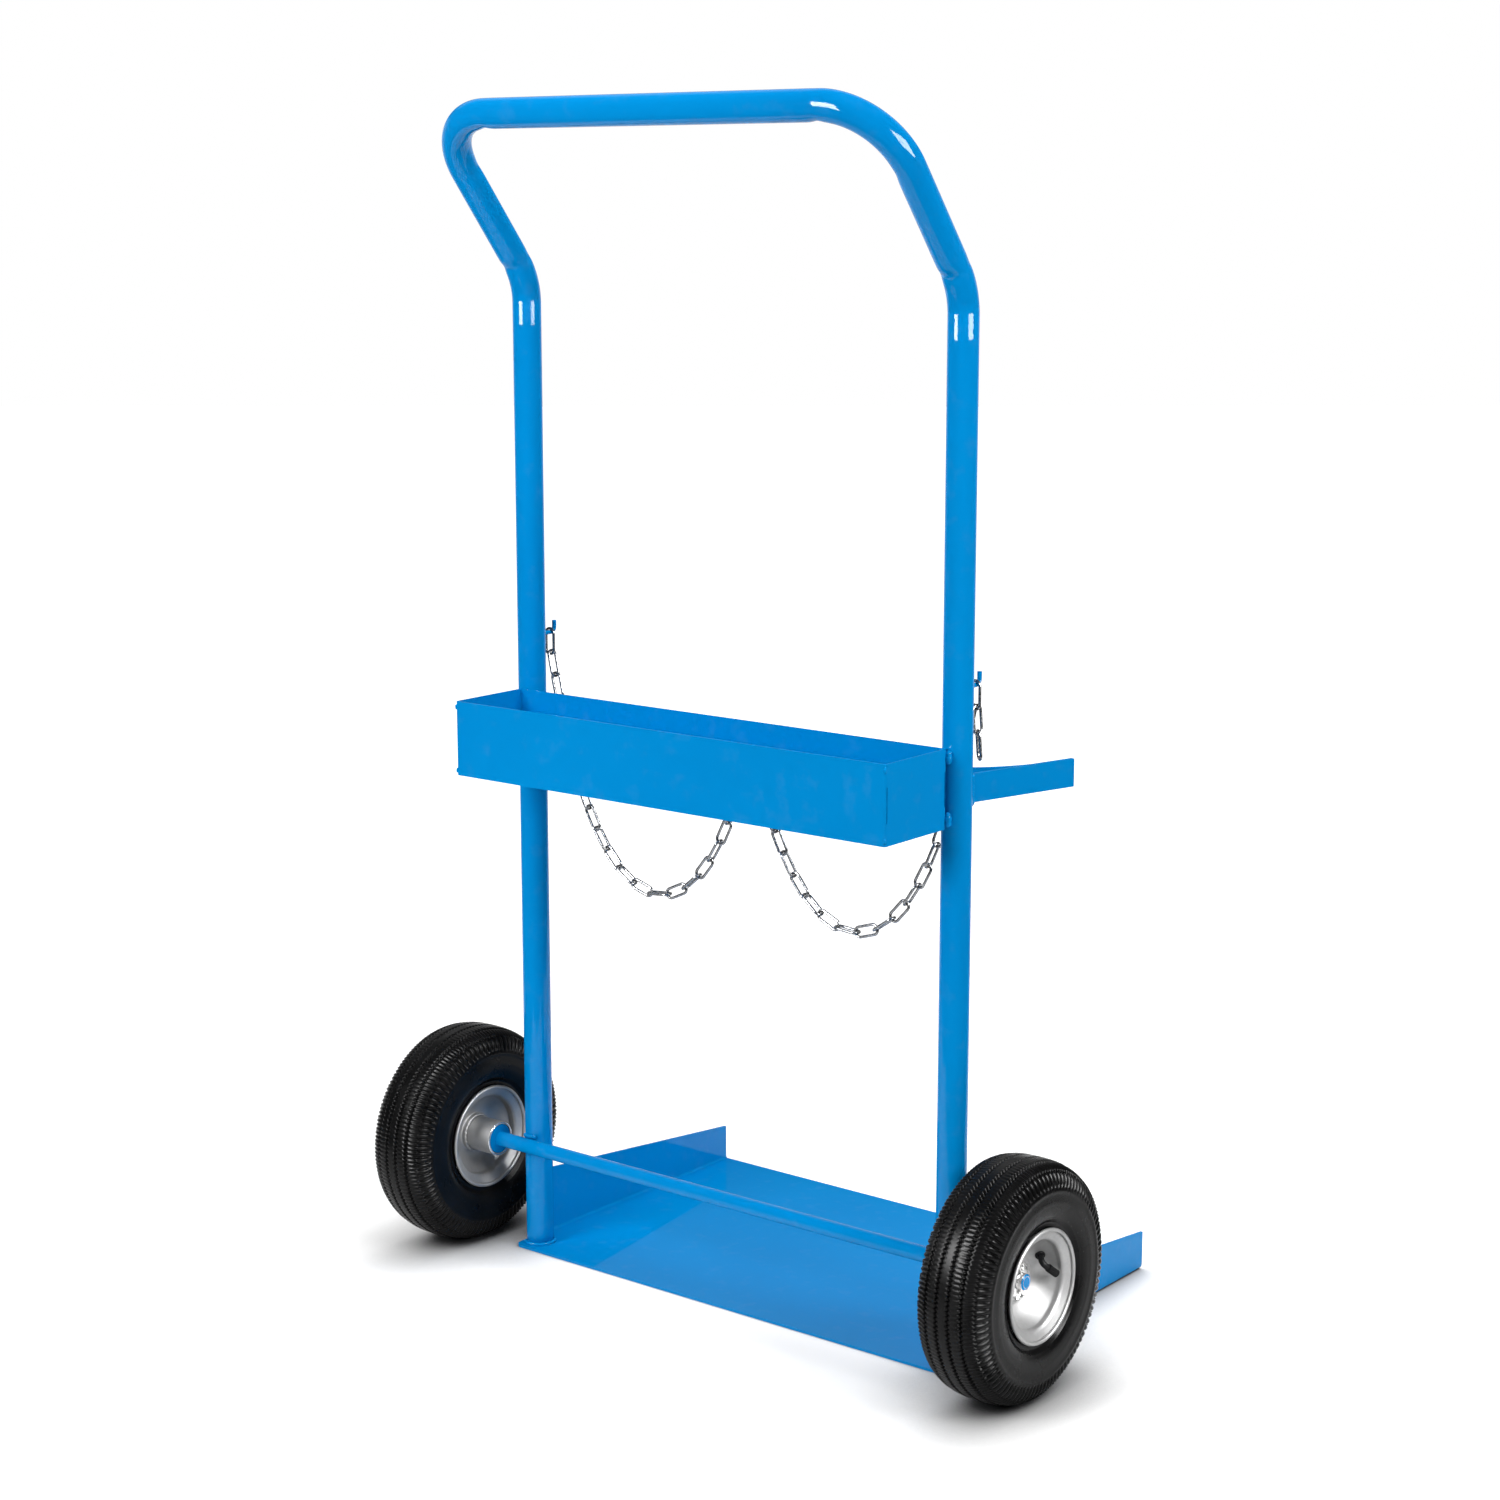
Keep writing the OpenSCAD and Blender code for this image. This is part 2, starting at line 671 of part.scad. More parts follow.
module rounded_box(x, y0, y1, r) {
    translate([-x, y0 + r]) square([2 * x, y1 - y0 - 2 * r]);
    translate([r - x, y0]) square([2 * (x - r), y1 - y0]);
    for (cx = [r - x, x - r]) for (cy = [y0 + r, y1 - r]) translate([cx, cy]) circle(r);
}

module tool_tray() {
    color(paint) translate([0, 0, tray_bottom_z]) difference() {
        linear_extrude(tray_h) rounded_box(upright_x, tray_front_y, tray_back_y, tray_fold_r);
        translate([0, 0, tray_t]) linear_extrude(tray_h)
            rounded_box(upright_x - tray_t, tray_front_y + tray_t, tray_back_y - tray_t, tray_fold_r - tray_t + 0.5);
        for (x = [-upright_x, upright_x]) for (y = [tray_front_y + tray_fold_r, tray_back_y - tray_fold_r])
            translate([x - 2 * tray_t, y - seam_w / 2, seam_margin])
                cube([4 * tray_t, seam_w, tray_h - 2 * seam_margin]);
    }
}

module at_rest_height() {
    translate([0, 0, rest_bottom_z]) children();
}

// Plan of the right side arm, long enough to be cut to fit the upright.
module arm_plan() {
    translate(arm_root) rotate(-arm_splay) translate([-rest_bar_t, -tube_r]) square([rest_bar_t, arm_len + tube_r]);
}

// Everything outboard of the right arm's inner face.
module past_arm() {
    translate(arm_root) rotate(-arm_splay) translate([-rest_bar_t, -4 * tube_r])
        square([band_r, arm_len + band_r]);
}

module side_arm(side) {
    reach = side == right ? arm_reach : arm_reach_left;
    color(paint) on_side(side) difference() {
        at_rest_height() linear_extrude(rest_bar_h) difference() {
            arm_plan();
            translate([upright_x, 0]) circle(tube_r);
            translate([0, -tube_r]) square([2 * upright_x, tube_r]);
            translate(arm_root) rotate(-arm_splay) translate([-2 * rest_bar_t, (reach - arm_root[1]) / cos(arm_splay)])
                square([4 * rest_bar_t, arm_len]);
        }
        cross_tube_solid(tube_r);
    }
}

module band_half_plan() {
    translate([0, tube_r]) square([band_straight, rest_bar_t]);
    difference() {
        translate([band_straight, band_front_y + band_r]) intersection() {
            difference() {
                circle(band_r + rest_bar_t, $fn = 720);
                circle(band_r, $fn = 720);
            }
            translate([0, -2 * band_r]) square([2 * band_r, 1.75 * band_r]);
        }
        past_arm();
    }
}

module cylinder_band() {
    color(paint) at_rest_height() linear_extrude(rest_bar_h) right_and_left() band_half_plan();
}

module chain_hook(side) {
    bend_y = hook_reach - hook_bend_r;
    color(paint) on_side(side) translate([upright_x, 0, hook_z]) difference() {
        union() {
            bar_y(hook_d / 2, 0, bend_y);
            translate([0, bend_y, hook_bend_r]) rotate([90, 0, 90]) rotate([0, 0, -90])
                rotate_extrude(angle = 90) translate([hook_bend_r, 0]) circle(d = hook_d);
            translate([0, hook_reach, hook_bend_r]) cylinder(d = hook_d, h = hook_tip - hook_bend_r);
        }
        translate([0, 0, -2 * tube_d]) cylinder(r = tube_r, h = 4 * tube_d);
    }
}

module chain_staple() {
    straight = staple_half_w - staple_bend_r;
    color(paint) translate([0, 0, staple_z]) {
        translate([0, staple_y, 0]) bar_x(staple_d / 2, -straight, straight);
        right_and_left() {
            translate([straight, staple_y - staple_bend_r, 0]) rotate_extrude(angle = 90)
                translate([staple_bend_r, 0]) circle(d = staple_d);
            translate([staple_half_w, 0, 0]) bar_y(staple_d / 2, band_front_y, staple_y - staple_bend_r);
        }
    }
}

// Fillet around the foot of each upright, trimmed at the edge of the plate.
module base_welds() {
    color(paint) intersection() {
        for (x = [-upright_x, upright_x]) translate([x, 0, plate_t]) rotate_extrude()
            polygon([[tube_r, 0], [tube_r + weld_leg, 0], [tube_r + weld_leg / 3, weld_leg / 3], [tube_r, weld_leg]]);
        translate([-plate_half, -plate_front, 0]) cube([plate_w, plate_front + flange_start, 3 * weld_leg]);
    }
}

// Short beads above and below the axle where it crosses the uprights.
module axle_welds() {
    color(paint) difference() {
        for (x = [-upright_x, upright_x]) for (up = [-1, 1])
            translate([x, axle_y + axle_r * 0.8, axle_z + up * axle_r]) bar_x(weld_bead_r, -tube_r / 2, tube_r / 2);
        uprights_solid();
        at_axle() bar_x(axle_r, -axle_half, axle_half);
    }
}

// Upright beads that bridge the gap between the tray and the tubes, high and low.
module tray_welds() {
    bead_len = 3 * weld_leg;
    color(paint) difference() {
        for (x = [-upright_x, upright_x]) for (z = [tray_bottom_z + tray_t, tray_top_z - bead_len - tray_t])
            translate([x, tray_back_y + tray_gap / 2, z]) cylinder(r = weld_bead_r, h = bead_len);
        uprights_solid();
        translate([-plate_w, tray_front_y, tray_bottom_z]) cube([2 * plate_w, tray_depth, tray_h]);
    }
}

// Beads at the roots of the side arms and between the band and the cross tube.
module rest_welds() {
    bead_len = 10 * weld_leg;
    color(paint) difference() {
        union() {
            right_and_left() at_rest_height() translate([arm_root[0] - rest_bar_t, arm_root[1], 0])
                cylinder(r = weld_bead_r, h = rest_bar_h);
            for (x = [-band_straight / 2, band_straight / 2]) for (up = [-1, 1])
                translate([x, tube_r - weld_bead_r, rest_bottom_z + rest_bar_h / 2 + up * tube_r / 2])
                    bar_x(weld_bead_r, -bead_len / 2, bead_len / 2);
        }
        uprights_solid();
        cross_tube_solid(tube_r);
        right_and_left() at_rest_height() translate([0, 0, -past]) linear_extrude(rest_bar_h + 2 * past) arm_plan();
    }
}

// Chain link lying flat, its long axis along X.
module chain_link() {
    for (y = [-link_mid_r, link_mid_r]) translate([0, y, 0]) bar_x(wire_d / 2, -link_straight / 2, link_straight / 2);
    for (turn = [0, 180]) rotate([0, 0, turn]) translate([link_straight / 2, 0, 0]) rotate([0, 0, -90])
        rotate_extrude(angle = 180) translate([link_mid_r, 0]) circle(d = wire_d);
}

// Places a chain's own plane: X from the hook towards the staple, Z up.
module chain_plane() {
    translate([upright_x, chain_y, 0]) rotate([0, 0, chain_turn]) children();
}

// Loose end beside the chain: it leans away, and each link is turned on from the one above.
module loose_tail() {
    translate([-pair_offset, 0, pair_z]) rotate([0, tail_lean, 0]) for (i = [1 : tail_links])
        translate([0, 0, -(link_len + wire_d) / 2 - (i - 1) * link_step])
            rotate([0, 90, 0]) rotate([tail_turn - (i - 1) * tail_step, 0, 0]) chain_link();
}

module chain(side) {
    color(zinc) on_side(side) chain_plane() {
        translate([0, 0, hook_link_z]) rotate([0, 90, 0]) rotate([90, 0, 0]) chain_link();
        for (i = [0 : hanging_links - 1]) {
            middle = (joints[i] + joints[i + 1]) / 2;
            translate([middle[0], 0, middle[1]]) rotate([0, -link_angles[i], 0])
                rotate([i % 2 == 1 ? 90 : 0, 0, 0]) chain_link();
        }
        if (side == right) loose_tail();
    }
}

handle_frame();
cross_tube();
base_plate();
axle();
axle_collars();
axle_washers();
split_pins();
bearing_inner_rings();
tool_tray();
cylinder_band();
side_arm(left);  // side_arm_left
side_arm(right);  // side_arm_right
chain_hook(left);  // chain_hook_left
chain_hook(right);  // chain_hook_right
chain_staple();
base_welds();
axle_welds();
tray_welds();
rest_welds();
tyre(left);  // tyre_left
inner_tube(left);  // inner_tube_left
rim_barrel(left);  // rim_barrel_left
rim_dish_outer(left);  // rim_dish_outer_left
rim_dish_inner(left);  // rim_dish_inner_left
hub_tube(left);  // hub_tube_left
bearing_outer_rings(left);  // bearing_outer_rings_left
bearing_balls(left);  // bearing_balls_left
valve_stem(left);  // valve_stem_left
valve_cap(left);  // valve_cap_left
tyre(right);  // tyre_right
inner_tube(right);  // inner_tube_right
rim_barrel(right);  // rim_barrel_right
rim_dish_outer(right);  // rim_dish_outer_right
rim_dish_inner(right);  // rim_dish_inner_right
hub_tube(right);  // hub_tube_right
bearing_outer_rings(right);  // bearing_outer_rings_right
bearing_balls(right);  // bearing_balls_right
valve_stem(right);  // valve_stem_right
valve_cap(right);  // valve_cap_right
chain(left);  // chain_left
chain(right);  // chain_right
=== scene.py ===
import json
import math
import bpy
import numpy as np
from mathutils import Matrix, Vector


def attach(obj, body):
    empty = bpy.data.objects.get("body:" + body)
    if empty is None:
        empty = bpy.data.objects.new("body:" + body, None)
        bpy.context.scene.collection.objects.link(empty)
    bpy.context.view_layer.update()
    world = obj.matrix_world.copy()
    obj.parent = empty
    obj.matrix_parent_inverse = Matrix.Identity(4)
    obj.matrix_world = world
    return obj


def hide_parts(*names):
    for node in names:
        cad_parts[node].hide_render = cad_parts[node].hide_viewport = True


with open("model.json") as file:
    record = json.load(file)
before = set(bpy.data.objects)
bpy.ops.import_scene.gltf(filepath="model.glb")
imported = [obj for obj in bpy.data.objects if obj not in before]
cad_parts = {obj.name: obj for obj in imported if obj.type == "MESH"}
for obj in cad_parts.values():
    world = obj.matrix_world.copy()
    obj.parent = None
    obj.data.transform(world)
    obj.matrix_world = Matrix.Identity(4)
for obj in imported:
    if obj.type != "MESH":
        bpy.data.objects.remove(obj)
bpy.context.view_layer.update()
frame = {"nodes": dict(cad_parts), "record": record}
nodes = frame["nodes"]
slotOf = {part["node"]: part["material_slot"] for part in frame["record"]["subparts"]}
mm = 0.001
sideWords = ((1, "right"), (-1, "left"))
print("frame loaded")


def linkOrSet(tree, socket, value):  # a socket takes another socket, or a constant
    if isinstance(value, bpy.types.NodeSocket):
        tree.links.new(value, socket)
    else:
        socket.default_value = value


def setInputs(tree, node, values):  # the node's inputs by name
    for key, value in values.items():
        linkOrSet(tree, node.inputs[key], value)
    return node


def newMaterial(name):  # a tree with one shader
    material = bpy.data.materials.new(name)
    material.use_nodes = True
    tree = material.node_tree
    tree.nodes.clear()
    output = tree.nodes.new("ShaderNodeOutputMaterial")
    surface = tree.nodes.new("ShaderNodeBsdfPrincipled")
    tree.links.new(surface.outputs["BSDF"], output.inputs["Surface"])
    return material, tree, surface


def objectPlace(tree, offset=(0, 0, 0), stretch=(1, 1, 1)):  # the piece's own coordinates, mapped
    place = tree.nodes.new("ShaderNodeTexCoord").outputs["Object"]
    mapping = tree.nodes.new("ShaderNodeMapping")
    setInputs(tree, mapping, {"Vector": place, "Location": offset, "Scale": stretch})
    return mapping.outputs["Vector"]


def noiseOf(tree, place, scale, detail=3.0, rough=0.5):  # cloudy value around 0.5
    node = tree.nodes.new("ShaderNodeTexNoise")
    setInputs(tree, node, {"Vector": place, "Scale": scale, "Detail": detail, "Roughness": rough})
    return node.outputs["Fac"]


def cellsOf(tree, place, scale):  # distance to the nearest of scattered points
    node = tree.nodes.new("ShaderNodeTexVoronoi")
    setInputs(tree, node, {"Vector": place, "Scale": scale})
    return node.outputs["Distance"]


def stretched(tree, value, span, outLow=0.0, outHigh=1.0):  # straight-line map of a span to a range, clamped
    node = tree.nodes.new("ShaderNodeMapRange")
    setInputs(tree, node, {"Value": value, "From Min": span[0], "From Max": span[1], "To Min": outLow,
                           "To Max": outHigh})
    return node.outputs["Result"]


def calc(tree, kind, first, second=0.0):  # one step of arithmetic
    node = tree.nodes.new("ShaderNodeMath")
    node.operation = kind
    linkOrSet(tree, node.inputs[0], first)
    linkOrSet(tree, node.inputs[1], second)
    return node.outputs[0]


def blended(tree, amount, first, second):  # first colour at 0, second colour at 1
    node = tree.nodes.new("ShaderNodeMix")
    node.data_type = "RGBA"
    linkOrSet(tree, node.inputs["Factor"], amount)
    linkOrSet(tree, node.inputs[6], first)
    linkOrSet(tree, node.inputs[7], second)
    return node.outputs[2]


def bumped(tree, height, strength, distance, under=None):  # relief, on top of another relief if there is one
    node = tree.nodes.new("ShaderNodeBump")
    setInputs(tree, node, {"Height": height, "Strength": strength, "Distance": distance})
    if under is not None:
        tree.links.new(under, node.inputs["Normal"])
    return node.outputs["Normal"]


paintLook = {
    "deep": (0.0, 0.207, 0.535), "light": (0.0, 0.230, 0.575), "cloudScale": 3.5, "cloudSpan": (0.3, 0.7),
    "fineScale": 60.0, "dust": 0.02, "dustSpan": (0.55, 0.8), "dustTone": (0.55, 0.62, 0.68),
    "rub": 0.2, "rubScale": 22.0, "rubShift": (0.3, 0.1, 0.7), "rubStretch": (1.0, 1.0, 0.2),
    "rubSpan": (0.62, 0.74), "rubRough": 0.08, "rough": 0.30, "roughSpan": (0.3, 0.8), "roughSpread": 0.07,
    "gloss": 0.0, "coat": 0.75, "coatIor": 1.28, "coatRough": 0.04,
    "peel": 0.02, "peelScale": 300.0, "peelDepth": 0.0004}
weldLook = {**paintLook, "peelScale": 260.0, "peel": 0.25, "rough": 0.2}
kneeNeck = {"z": 1.100, "half": 0.011, "depth": 0.0031}  # faint neck that bending leaves below each knee


# Height of the neck: minus its depth times the bell curve of the distance from its level.
def neckOf(tree, neck):
    parts = tree.nodes.new("ShaderNodeSeparateXYZ")
    tree.links.new(objectPlace(tree), parts.inputs[0])
    far = calc(tree, "DIVIDE", calc(tree, "SUBTRACT", parts.outputs["Z"], neck["z"]), neck["half"])
    bell = calc(tree, "EXPONENT", calc(tree, "MULTIPLY", calc(tree, "MULTIPLY", far, far), -0.5))
    return calc(tree, "MULTIPLY", bell, -neck["depth"])


# Gloss paint: cloudy tone, thin dust, a few dull rubs and faint orange peel, under a clear coat.
def paintMaterial(name, look, neck=None):
    material, tree, surface = newMaterial(name)
    place = objectPlace(tree)
    cloud = stretched(tree, noiseOf(tree, place, look["cloudScale"], 4.0), look["cloudSpan"])
    fine = noiseOf(tree, place, look["fineScale"])
    rubPlace = objectPlace(tree, look["rubShift"], look["rubStretch"])
    rub = stretched(tree, noiseOf(tree, rubPlace, look["rubScale"], 5.0, 0.6), look["rubSpan"])
    dust = calc(tree, "MULTIPLY", stretched(tree, fine, look["dustSpan"]), look["dust"])
    tone = blended(tree, cloud, (*look["deep"], 1), (*look["light"], 1))
    dusty = blended(tree, dust, tone, (*look["dustTone"], 1))
    worn = blended(tree, calc(tree, "MULTIPLY", rub, look["rub"]), dusty, (*look["light"], 1))
    rough = stretched(tree, fine, look["roughSpan"], look["rough"], look["rough"] + look["roughSpread"])
    rough = calc(tree, "ADD", rough, calc(tree, "MULTIPLY", rub, look["rubRough"]))
    necked = bumped(tree, neckOf(tree, neck), 1.0, 1.0) if neck else None
    peel = noiseOf(tree, place, look["peelScale"], 2.0)
    relief = bumped(tree, peel, look["peel"], look["peelDepth"], necked)
    setInputs(tree, surface, {
        "Base Color": worn, "Roughness": rough, "Specular IOR Level": look["gloss"], "Normal": relief,
        "Coat Weight": look["coat"], "Coat IOR": look["coatIor"], "Coat Roughness": look["coatRough"],
        "Coat Normal": relief})
    return material


tyreLook = {
    "deep": (0.003, 0.003, 0.0031), "light": (0.007, 0.007, 0.0072), "patchScale": 18.0,
    "patchSpan": (0.35, 0.75), "specks": 0.32, "speckScale": 170.0, "speckSpan": (0.02, 0.14),
    "speckTone": (0.16, 0.16, 0.16), "bunchScale": 11.0, "bunchSpan": (0.48, 0.66), "bunchLeast": 0.1,
    "rough": 0.22, "roughSpan": (0.3, 0.7), "roughSpread": 0.14, "gloss": 0.085,
    "grain": 0.3, "grainScale": 900.0, "grainDepth": 0.0003}
innerTubeLook = {**tyreLook, "rough": 0.35, "specks": 0.02}
valveLook = {**tyreLook, "deep": (0.010, 0.010, 0.011), "light": (0.018, 0.018, 0.019), "rough": 0.32,
             "specks": 0.03}
capLook = {**valveLook, "rough": 0.38, "grain": 0.4}


# Dark rubber: patchy tone, bunches of dusty specks and a fine moulded grain.
def rubberMaterial(name, look):
    material, tree, surface = newMaterial(name)
    place = objectPlace(tree)
    patch = noiseOf(tree, place, look["patchScale"], 5.0, 0.6)
    speck = stretched(tree, cellsOf(tree, place, look["speckScale"]), look["speckSpan"], 1.0, 0.0)
    bunch = noiseOf(tree, place, look["bunchScale"], 2.0)
    bunch = stretched(tree, bunch, look["bunchSpan"], look["bunchLeast"])
    dirt = calc(tree, "MULTIPLY", calc(tree, "MULTIPLY", speck, bunch), look["specks"])
    tone = blended(tree, stretched(tree, patch, look["patchSpan"]), (*look["deep"], 1), (*look["light"], 1))
    flecked = blended(tree, dirt, tone, (*look["speckTone"], 1))
    rough = stretched(tree, patch, look["roughSpan"], look["rough"], look["rough"] + look["roughSpread"])
    grain = noiseOf(tree, place, look["grainScale"], 2.0)
    setInputs(tree, surface, {
        "Base Color": flecked, "Roughness": rough, "Specular IOR Level": look["gloss"],
        "Normal": bumped(tree, grain, look["grain"], look["grainDepth"])})
    return material


rimLook = {
    "deep": (0.29, 0.29, 0.29), "light": (0.37, 0.37, 0.37), "metal": 0.85, "cloudScale": 26.0,
    "cloudSpan": (0.3, 0.7), "specks": 0.12, "speckScale": 90.0, "speckSpan": (0.01, 0.1),
    "speckTone": (0.2, 0.19, 0.18), "rough": 0.47, "roughSpan": (0.3, 0.7), "roughSpread": 0.12,
    "grain": 0.08, "grainScale": 240.0, "grainShift": (0.2, 0.4, 0.1), "grainDepth": 0.0002}
chainLook = {**rimLook, "deep": (0.22, 0.223, 0.228), "light": (0.36, 0.364, 0.37), "metal": 0.95,
             "rough": 0.2, "cloudScale": 90.0, "specks": 0.3, "grain": 0.2}
brightLook = {**rimLook, "deep": (0.66, 0.66, 0.65), "light": (0.82, 0.82, 0.82), "rough": 0.14}
bearingLook = {**brightLook, "rough": 0.10, "specks": 0.02}


# Plated steel: cloudy grey, darker specks and a fine grain that also varies the gloss.
def metalMaterial(name, look):
    material, tree, surface = newMaterial(name)
    place = objectPlace(tree)
    cloud = stretched(tree, noiseOf(tree, place, look["cloudScale"], 4.0, 0.55), look["cloudSpan"])
    grain = noiseOf(tree, objectPlace(tree, look["grainShift"]), look["grainScale"])
    speck = stretched(tree, cellsOf(tree, place, look["speckScale"]), look["speckSpan"], 1.0, 0.0)
    tone = blended(tree, cloud, (*look["deep"], 1), (*look["light"], 1))
    aged = blended(tree, calc(tree, "MULTIPLY", speck, look["specks"]), tone, (*look["speckTone"], 1))
    rough = stretched(tree, grain, look["roughSpan"], look["rough"], look["rough"] + look["roughSpread"])
    setInputs(tree, surface, {
        "Base Color": aged, "Metallic": look["metal"], "Roughness": rough,
        "Normal": bumped(tree, grain, look["grain"], look["grainDepth"])})
    return material


looks = {
    "blue_paint": paintMaterial("bluePaint", paintLook),
    "bent_tube": paintMaterial("bentTubePaint", paintLook, kneeNeck),
    "painted_weld": paintMaterial("paintedWeld", weldLook),
    "tyre_rubber": rubberMaterial("tyreRubber", tyreLook),
    "butyl_rubber": rubberMaterial("butylRubber", innerTubeLook),
    "valve_rubber": rubberMaterial("valveRubber", valveLook),
    "cap_plastic": rubberMaterial("capPlastic", capLook),
    "rim_zinc": metalMaterial("rimZinc", rimLook),
    "chain_zinc": metalMaterial("chainZinc", chainLook),
    "bright_zinc": metalMaterial("brightZinc", brightLook),
    "bearing_steel": metalMaterial("bearingSteel", bearingLook),
}
for name, node in nodes.items():
    node.data.materials.clear()
    node.data.materials.append(looks["bent_tube" if name == "handle_frame" else slotOf[name]])
print("materials made")


# Faces of a grid: each cell joins four neighbouring points; a closed way joins its last row to its first.
def gridFaces(rows, cols, closeRows, closeCols, flip):
    i, j = np.meshgrid(np.arange(rows - (not closeRows)), np.arange(cols - (not closeCols)), indexing="ij")
    nextI, nextJ = (i + 1) % rows, (j + 1) % cols
    corners = [i * cols + j, nextI * cols + j, nextI * cols + nextJ, i * cols + nextJ]
    quads = np.stack(corners, -1).reshape(-1, 4)
    return quads[:, ::-1] if flip else quads


# One mesh of several grids, each given as points, closeRows, closeCols and flip.
def makePiece(name, grids, body, slotName, replaced=(), look=None):
    starts = np.cumsum([0] + [points.shape[0] * points.shape[1] for points, *_ in grids])
    verts = np.concatenate([points.reshape(-1, 3) for points, *_ in grids])
    faces = np.concatenate([gridFaces(points.shape[0], points.shape[1], *how) + start
                            for (points, *how), start in zip(grids, starts)])
    mesh = bpy.data.meshes.new(name)
    mesh.from_pydata(verts.tolist(), [], faces.tolist())
    mesh.polygons.foreach_set("use_smooth", np.ones(len(mesh.polygons), bool))
    mesh.update()
    mesh.materials.append(looks[look or slotName])
    piece = bpy.data.objects.new(name, mesh)
    bpy.context.scene.collection.objects.link(piece)
    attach(piece, body)
    if replaced:
        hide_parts(*replaced)


def turns(steps):  # angles of one full turn in equal steps
    return np.linspace(0, 2 * math.pi, steps, endpoint=False)


wheel = {"track": 766.0, "axleY": -24.4, "axleZ": 127.0, "axleR": 8.5}


# A point of a wheel: a out from the tyre's centre plane, r from the axle, turned about the axle.
def wheelPoints(side, a, r, turn):
    a, r, turn = np.broadcast_arrays(a, r, turn)
    return np.stack([side * (wheel["track"] / 2 + a), wheel["axleY"] + r * np.cos(turn),
                     wheel["axleZ"] + r * np.sin(turn)], -1) * mm


def zigzag(x):  # triangle wave between -1 and 1, one wave for each whole number
    return 4 * np.abs(x - np.floor(x + 0.5)) - 1


tyre = {
    "midR": 92.0, "rise": 35.0, "halfW": 41.0, "squareA": 0.75, "squareR": 0.6,  # squared-off oval
    "treadSteps": 960, "outerSteps": 1600, "innerSteps": 1000, "ribRows": 7, "wallRows": 26,
    "teeth": 160, "toothH": 1.55, "grooves": (-21.0, -7.0, 7.0, 21.0), "grooveW": 3.8, "grooveDepth": 3.4,
    "grooveWall": 0.6, "grooveBrim": 0.35, "grooveSag": 0.2, "edge": 33.0, "edgeDrop": 3.6, "soft": 0.5,
    "shoulder": (43, 6), "wall": (4, -38),  # degrees around the oval
    "beadA": (34.2, 34.4, 34.6, 33.5), "beadR": (64.0, 62.6, 61.6, 59.8),
    "ribs": 100, "ribDepth": 3.0, "ribPower": 0.7, "ribFrom": 101.0, "ribRise": 5.0, "ribTo": 122.0,
    "ribFall": 2.5,
    "rings": ((99.5, 0.9, 0.8), (86.0, 0.35, 0.7), (70.0, 0.4, 0.8)),  # radius, height and width
    "easeFrom": 117.0, "easeRun": 3.0, "easeDepth": 1.0}


# Radius of the tyre's outline at a distance a from its centre plane, on the squared-off oval of the section.
def crownR(a):
    cosine = np.clip(np.abs(a) / tyre["halfW"], 0, 1) ** (1 / tyre["squareA"])
    return tyre["midR"] + tyre["rise"] * (1 - cosine ** 2) ** (tyre["squareR"] / 2)


# Tread: columns follow a saw-tooth line around the wheel, so each groove wall is one crisp step.
def treadGrid(side):
    edge, soft, half = tyre["edge"], tyre["soft"], tyre["grooveW"] / 2
    wall, brim, depth = tyre["grooveWall"], tyre["grooveBrim"], tyre["grooveDepth"]
    marks = [(-edge - soft, tyre["edgeDrop"]), (-edge, soft), (-edge + soft, 0.0)]  # place and depth
    last = -edge + soft
    for groove in tyre["grooves"]:
        marks += [(place, 0.0) for place in np.linspace(last, groove - half - soft, tyre["ribRows"])[1:]]
        marks += [(groove - half, brim), (groove - half + wall, depth), (groove, depth + tyre["grooveSag"]),
                  (groove + half - wall, depth), (groove + half, brim), (groove + half + soft, 0.0)]
        last = groove + half + soft
    marks += [(place, 0.0) for place in np.linspace(last, edge - soft, tyre["ribRows"])[1:]]
    marks += [(edge, soft), (edge + soft, tyre["edgeDrop"])]
    place, depth = np.array(marks).T
    turn = turns(tyre["treadSteps"])[:, None]
    shift = tyre["toothH"] * zigzag(turn * tyre["teeth"] / (2 * math.pi))
    r = crownR(place)[None, :] - depth[None, :]
    return wheelPoints(side, place[None, :] + shift, r, turn), True, False, side < 0


# Tyre side: the section's outline from the tread's edge to the bead, moved along its own normal by the radial
# ribs of the shoulder, a raised ring below them and two faint moulding rings on the wall.
def sideGrid(side, face):
    spans = [np.linspace(*tyre[part], tyre["wallRows"]) for part in ("shoulder", "wall")]
    swing = np.radians(np.concatenate(spans))
    sine, cosine = np.sin(swing), np.cos(swing)
    a = np.concatenate([tyre["halfW"] * np.abs(cosine) ** tyre["squareA"], tyre["beadA"]])
    r = tyre["midR"] + tyre["rise"] * np.sign(sine) * np.abs(sine) ** tyre["squareR"]
    r = np.concatenate([r, tyre["beadR"]])
    da, dr = np.gradient(a), np.gradient(r)
    size = np.hypot(da, dr)
    outA, outR = -dr / size, da / size
    turn = turns(tyre["outerSteps"] if face > 0 else tyre["innerSteps"])[:, None]
    lobe = np.abs(np.cos(turn * tyre["ribs"] / 2)) ** tyre["ribPower"]
    window = np.clip((r - tyre["ribFrom"]) / tyre["ribRise"], 0, 1)
    window = window * np.clip((tyre["ribTo"] - r) / tyre["ribFall"], 0, 1)
    ring = sum(height * np.exp(-((r - ringR) / width) ** 2) for ringR, height, width in tyre["rings"])
    lift = ring[None, :] - tyre["ribDepth"] * window[None, :] * (1 - lobe)
    lift = lift - tyre["easeDepth"] * np.clip((r - tyre["easeFrom"]) / tyre["easeRun"], 0, 1)[None, :]
    a, r = a[None, :] + lift * outA[None, :], r[None, :] + lift * outR[None, :]
    return wheelPoints(side, face * a, r, turn), True, False, side * face < 0


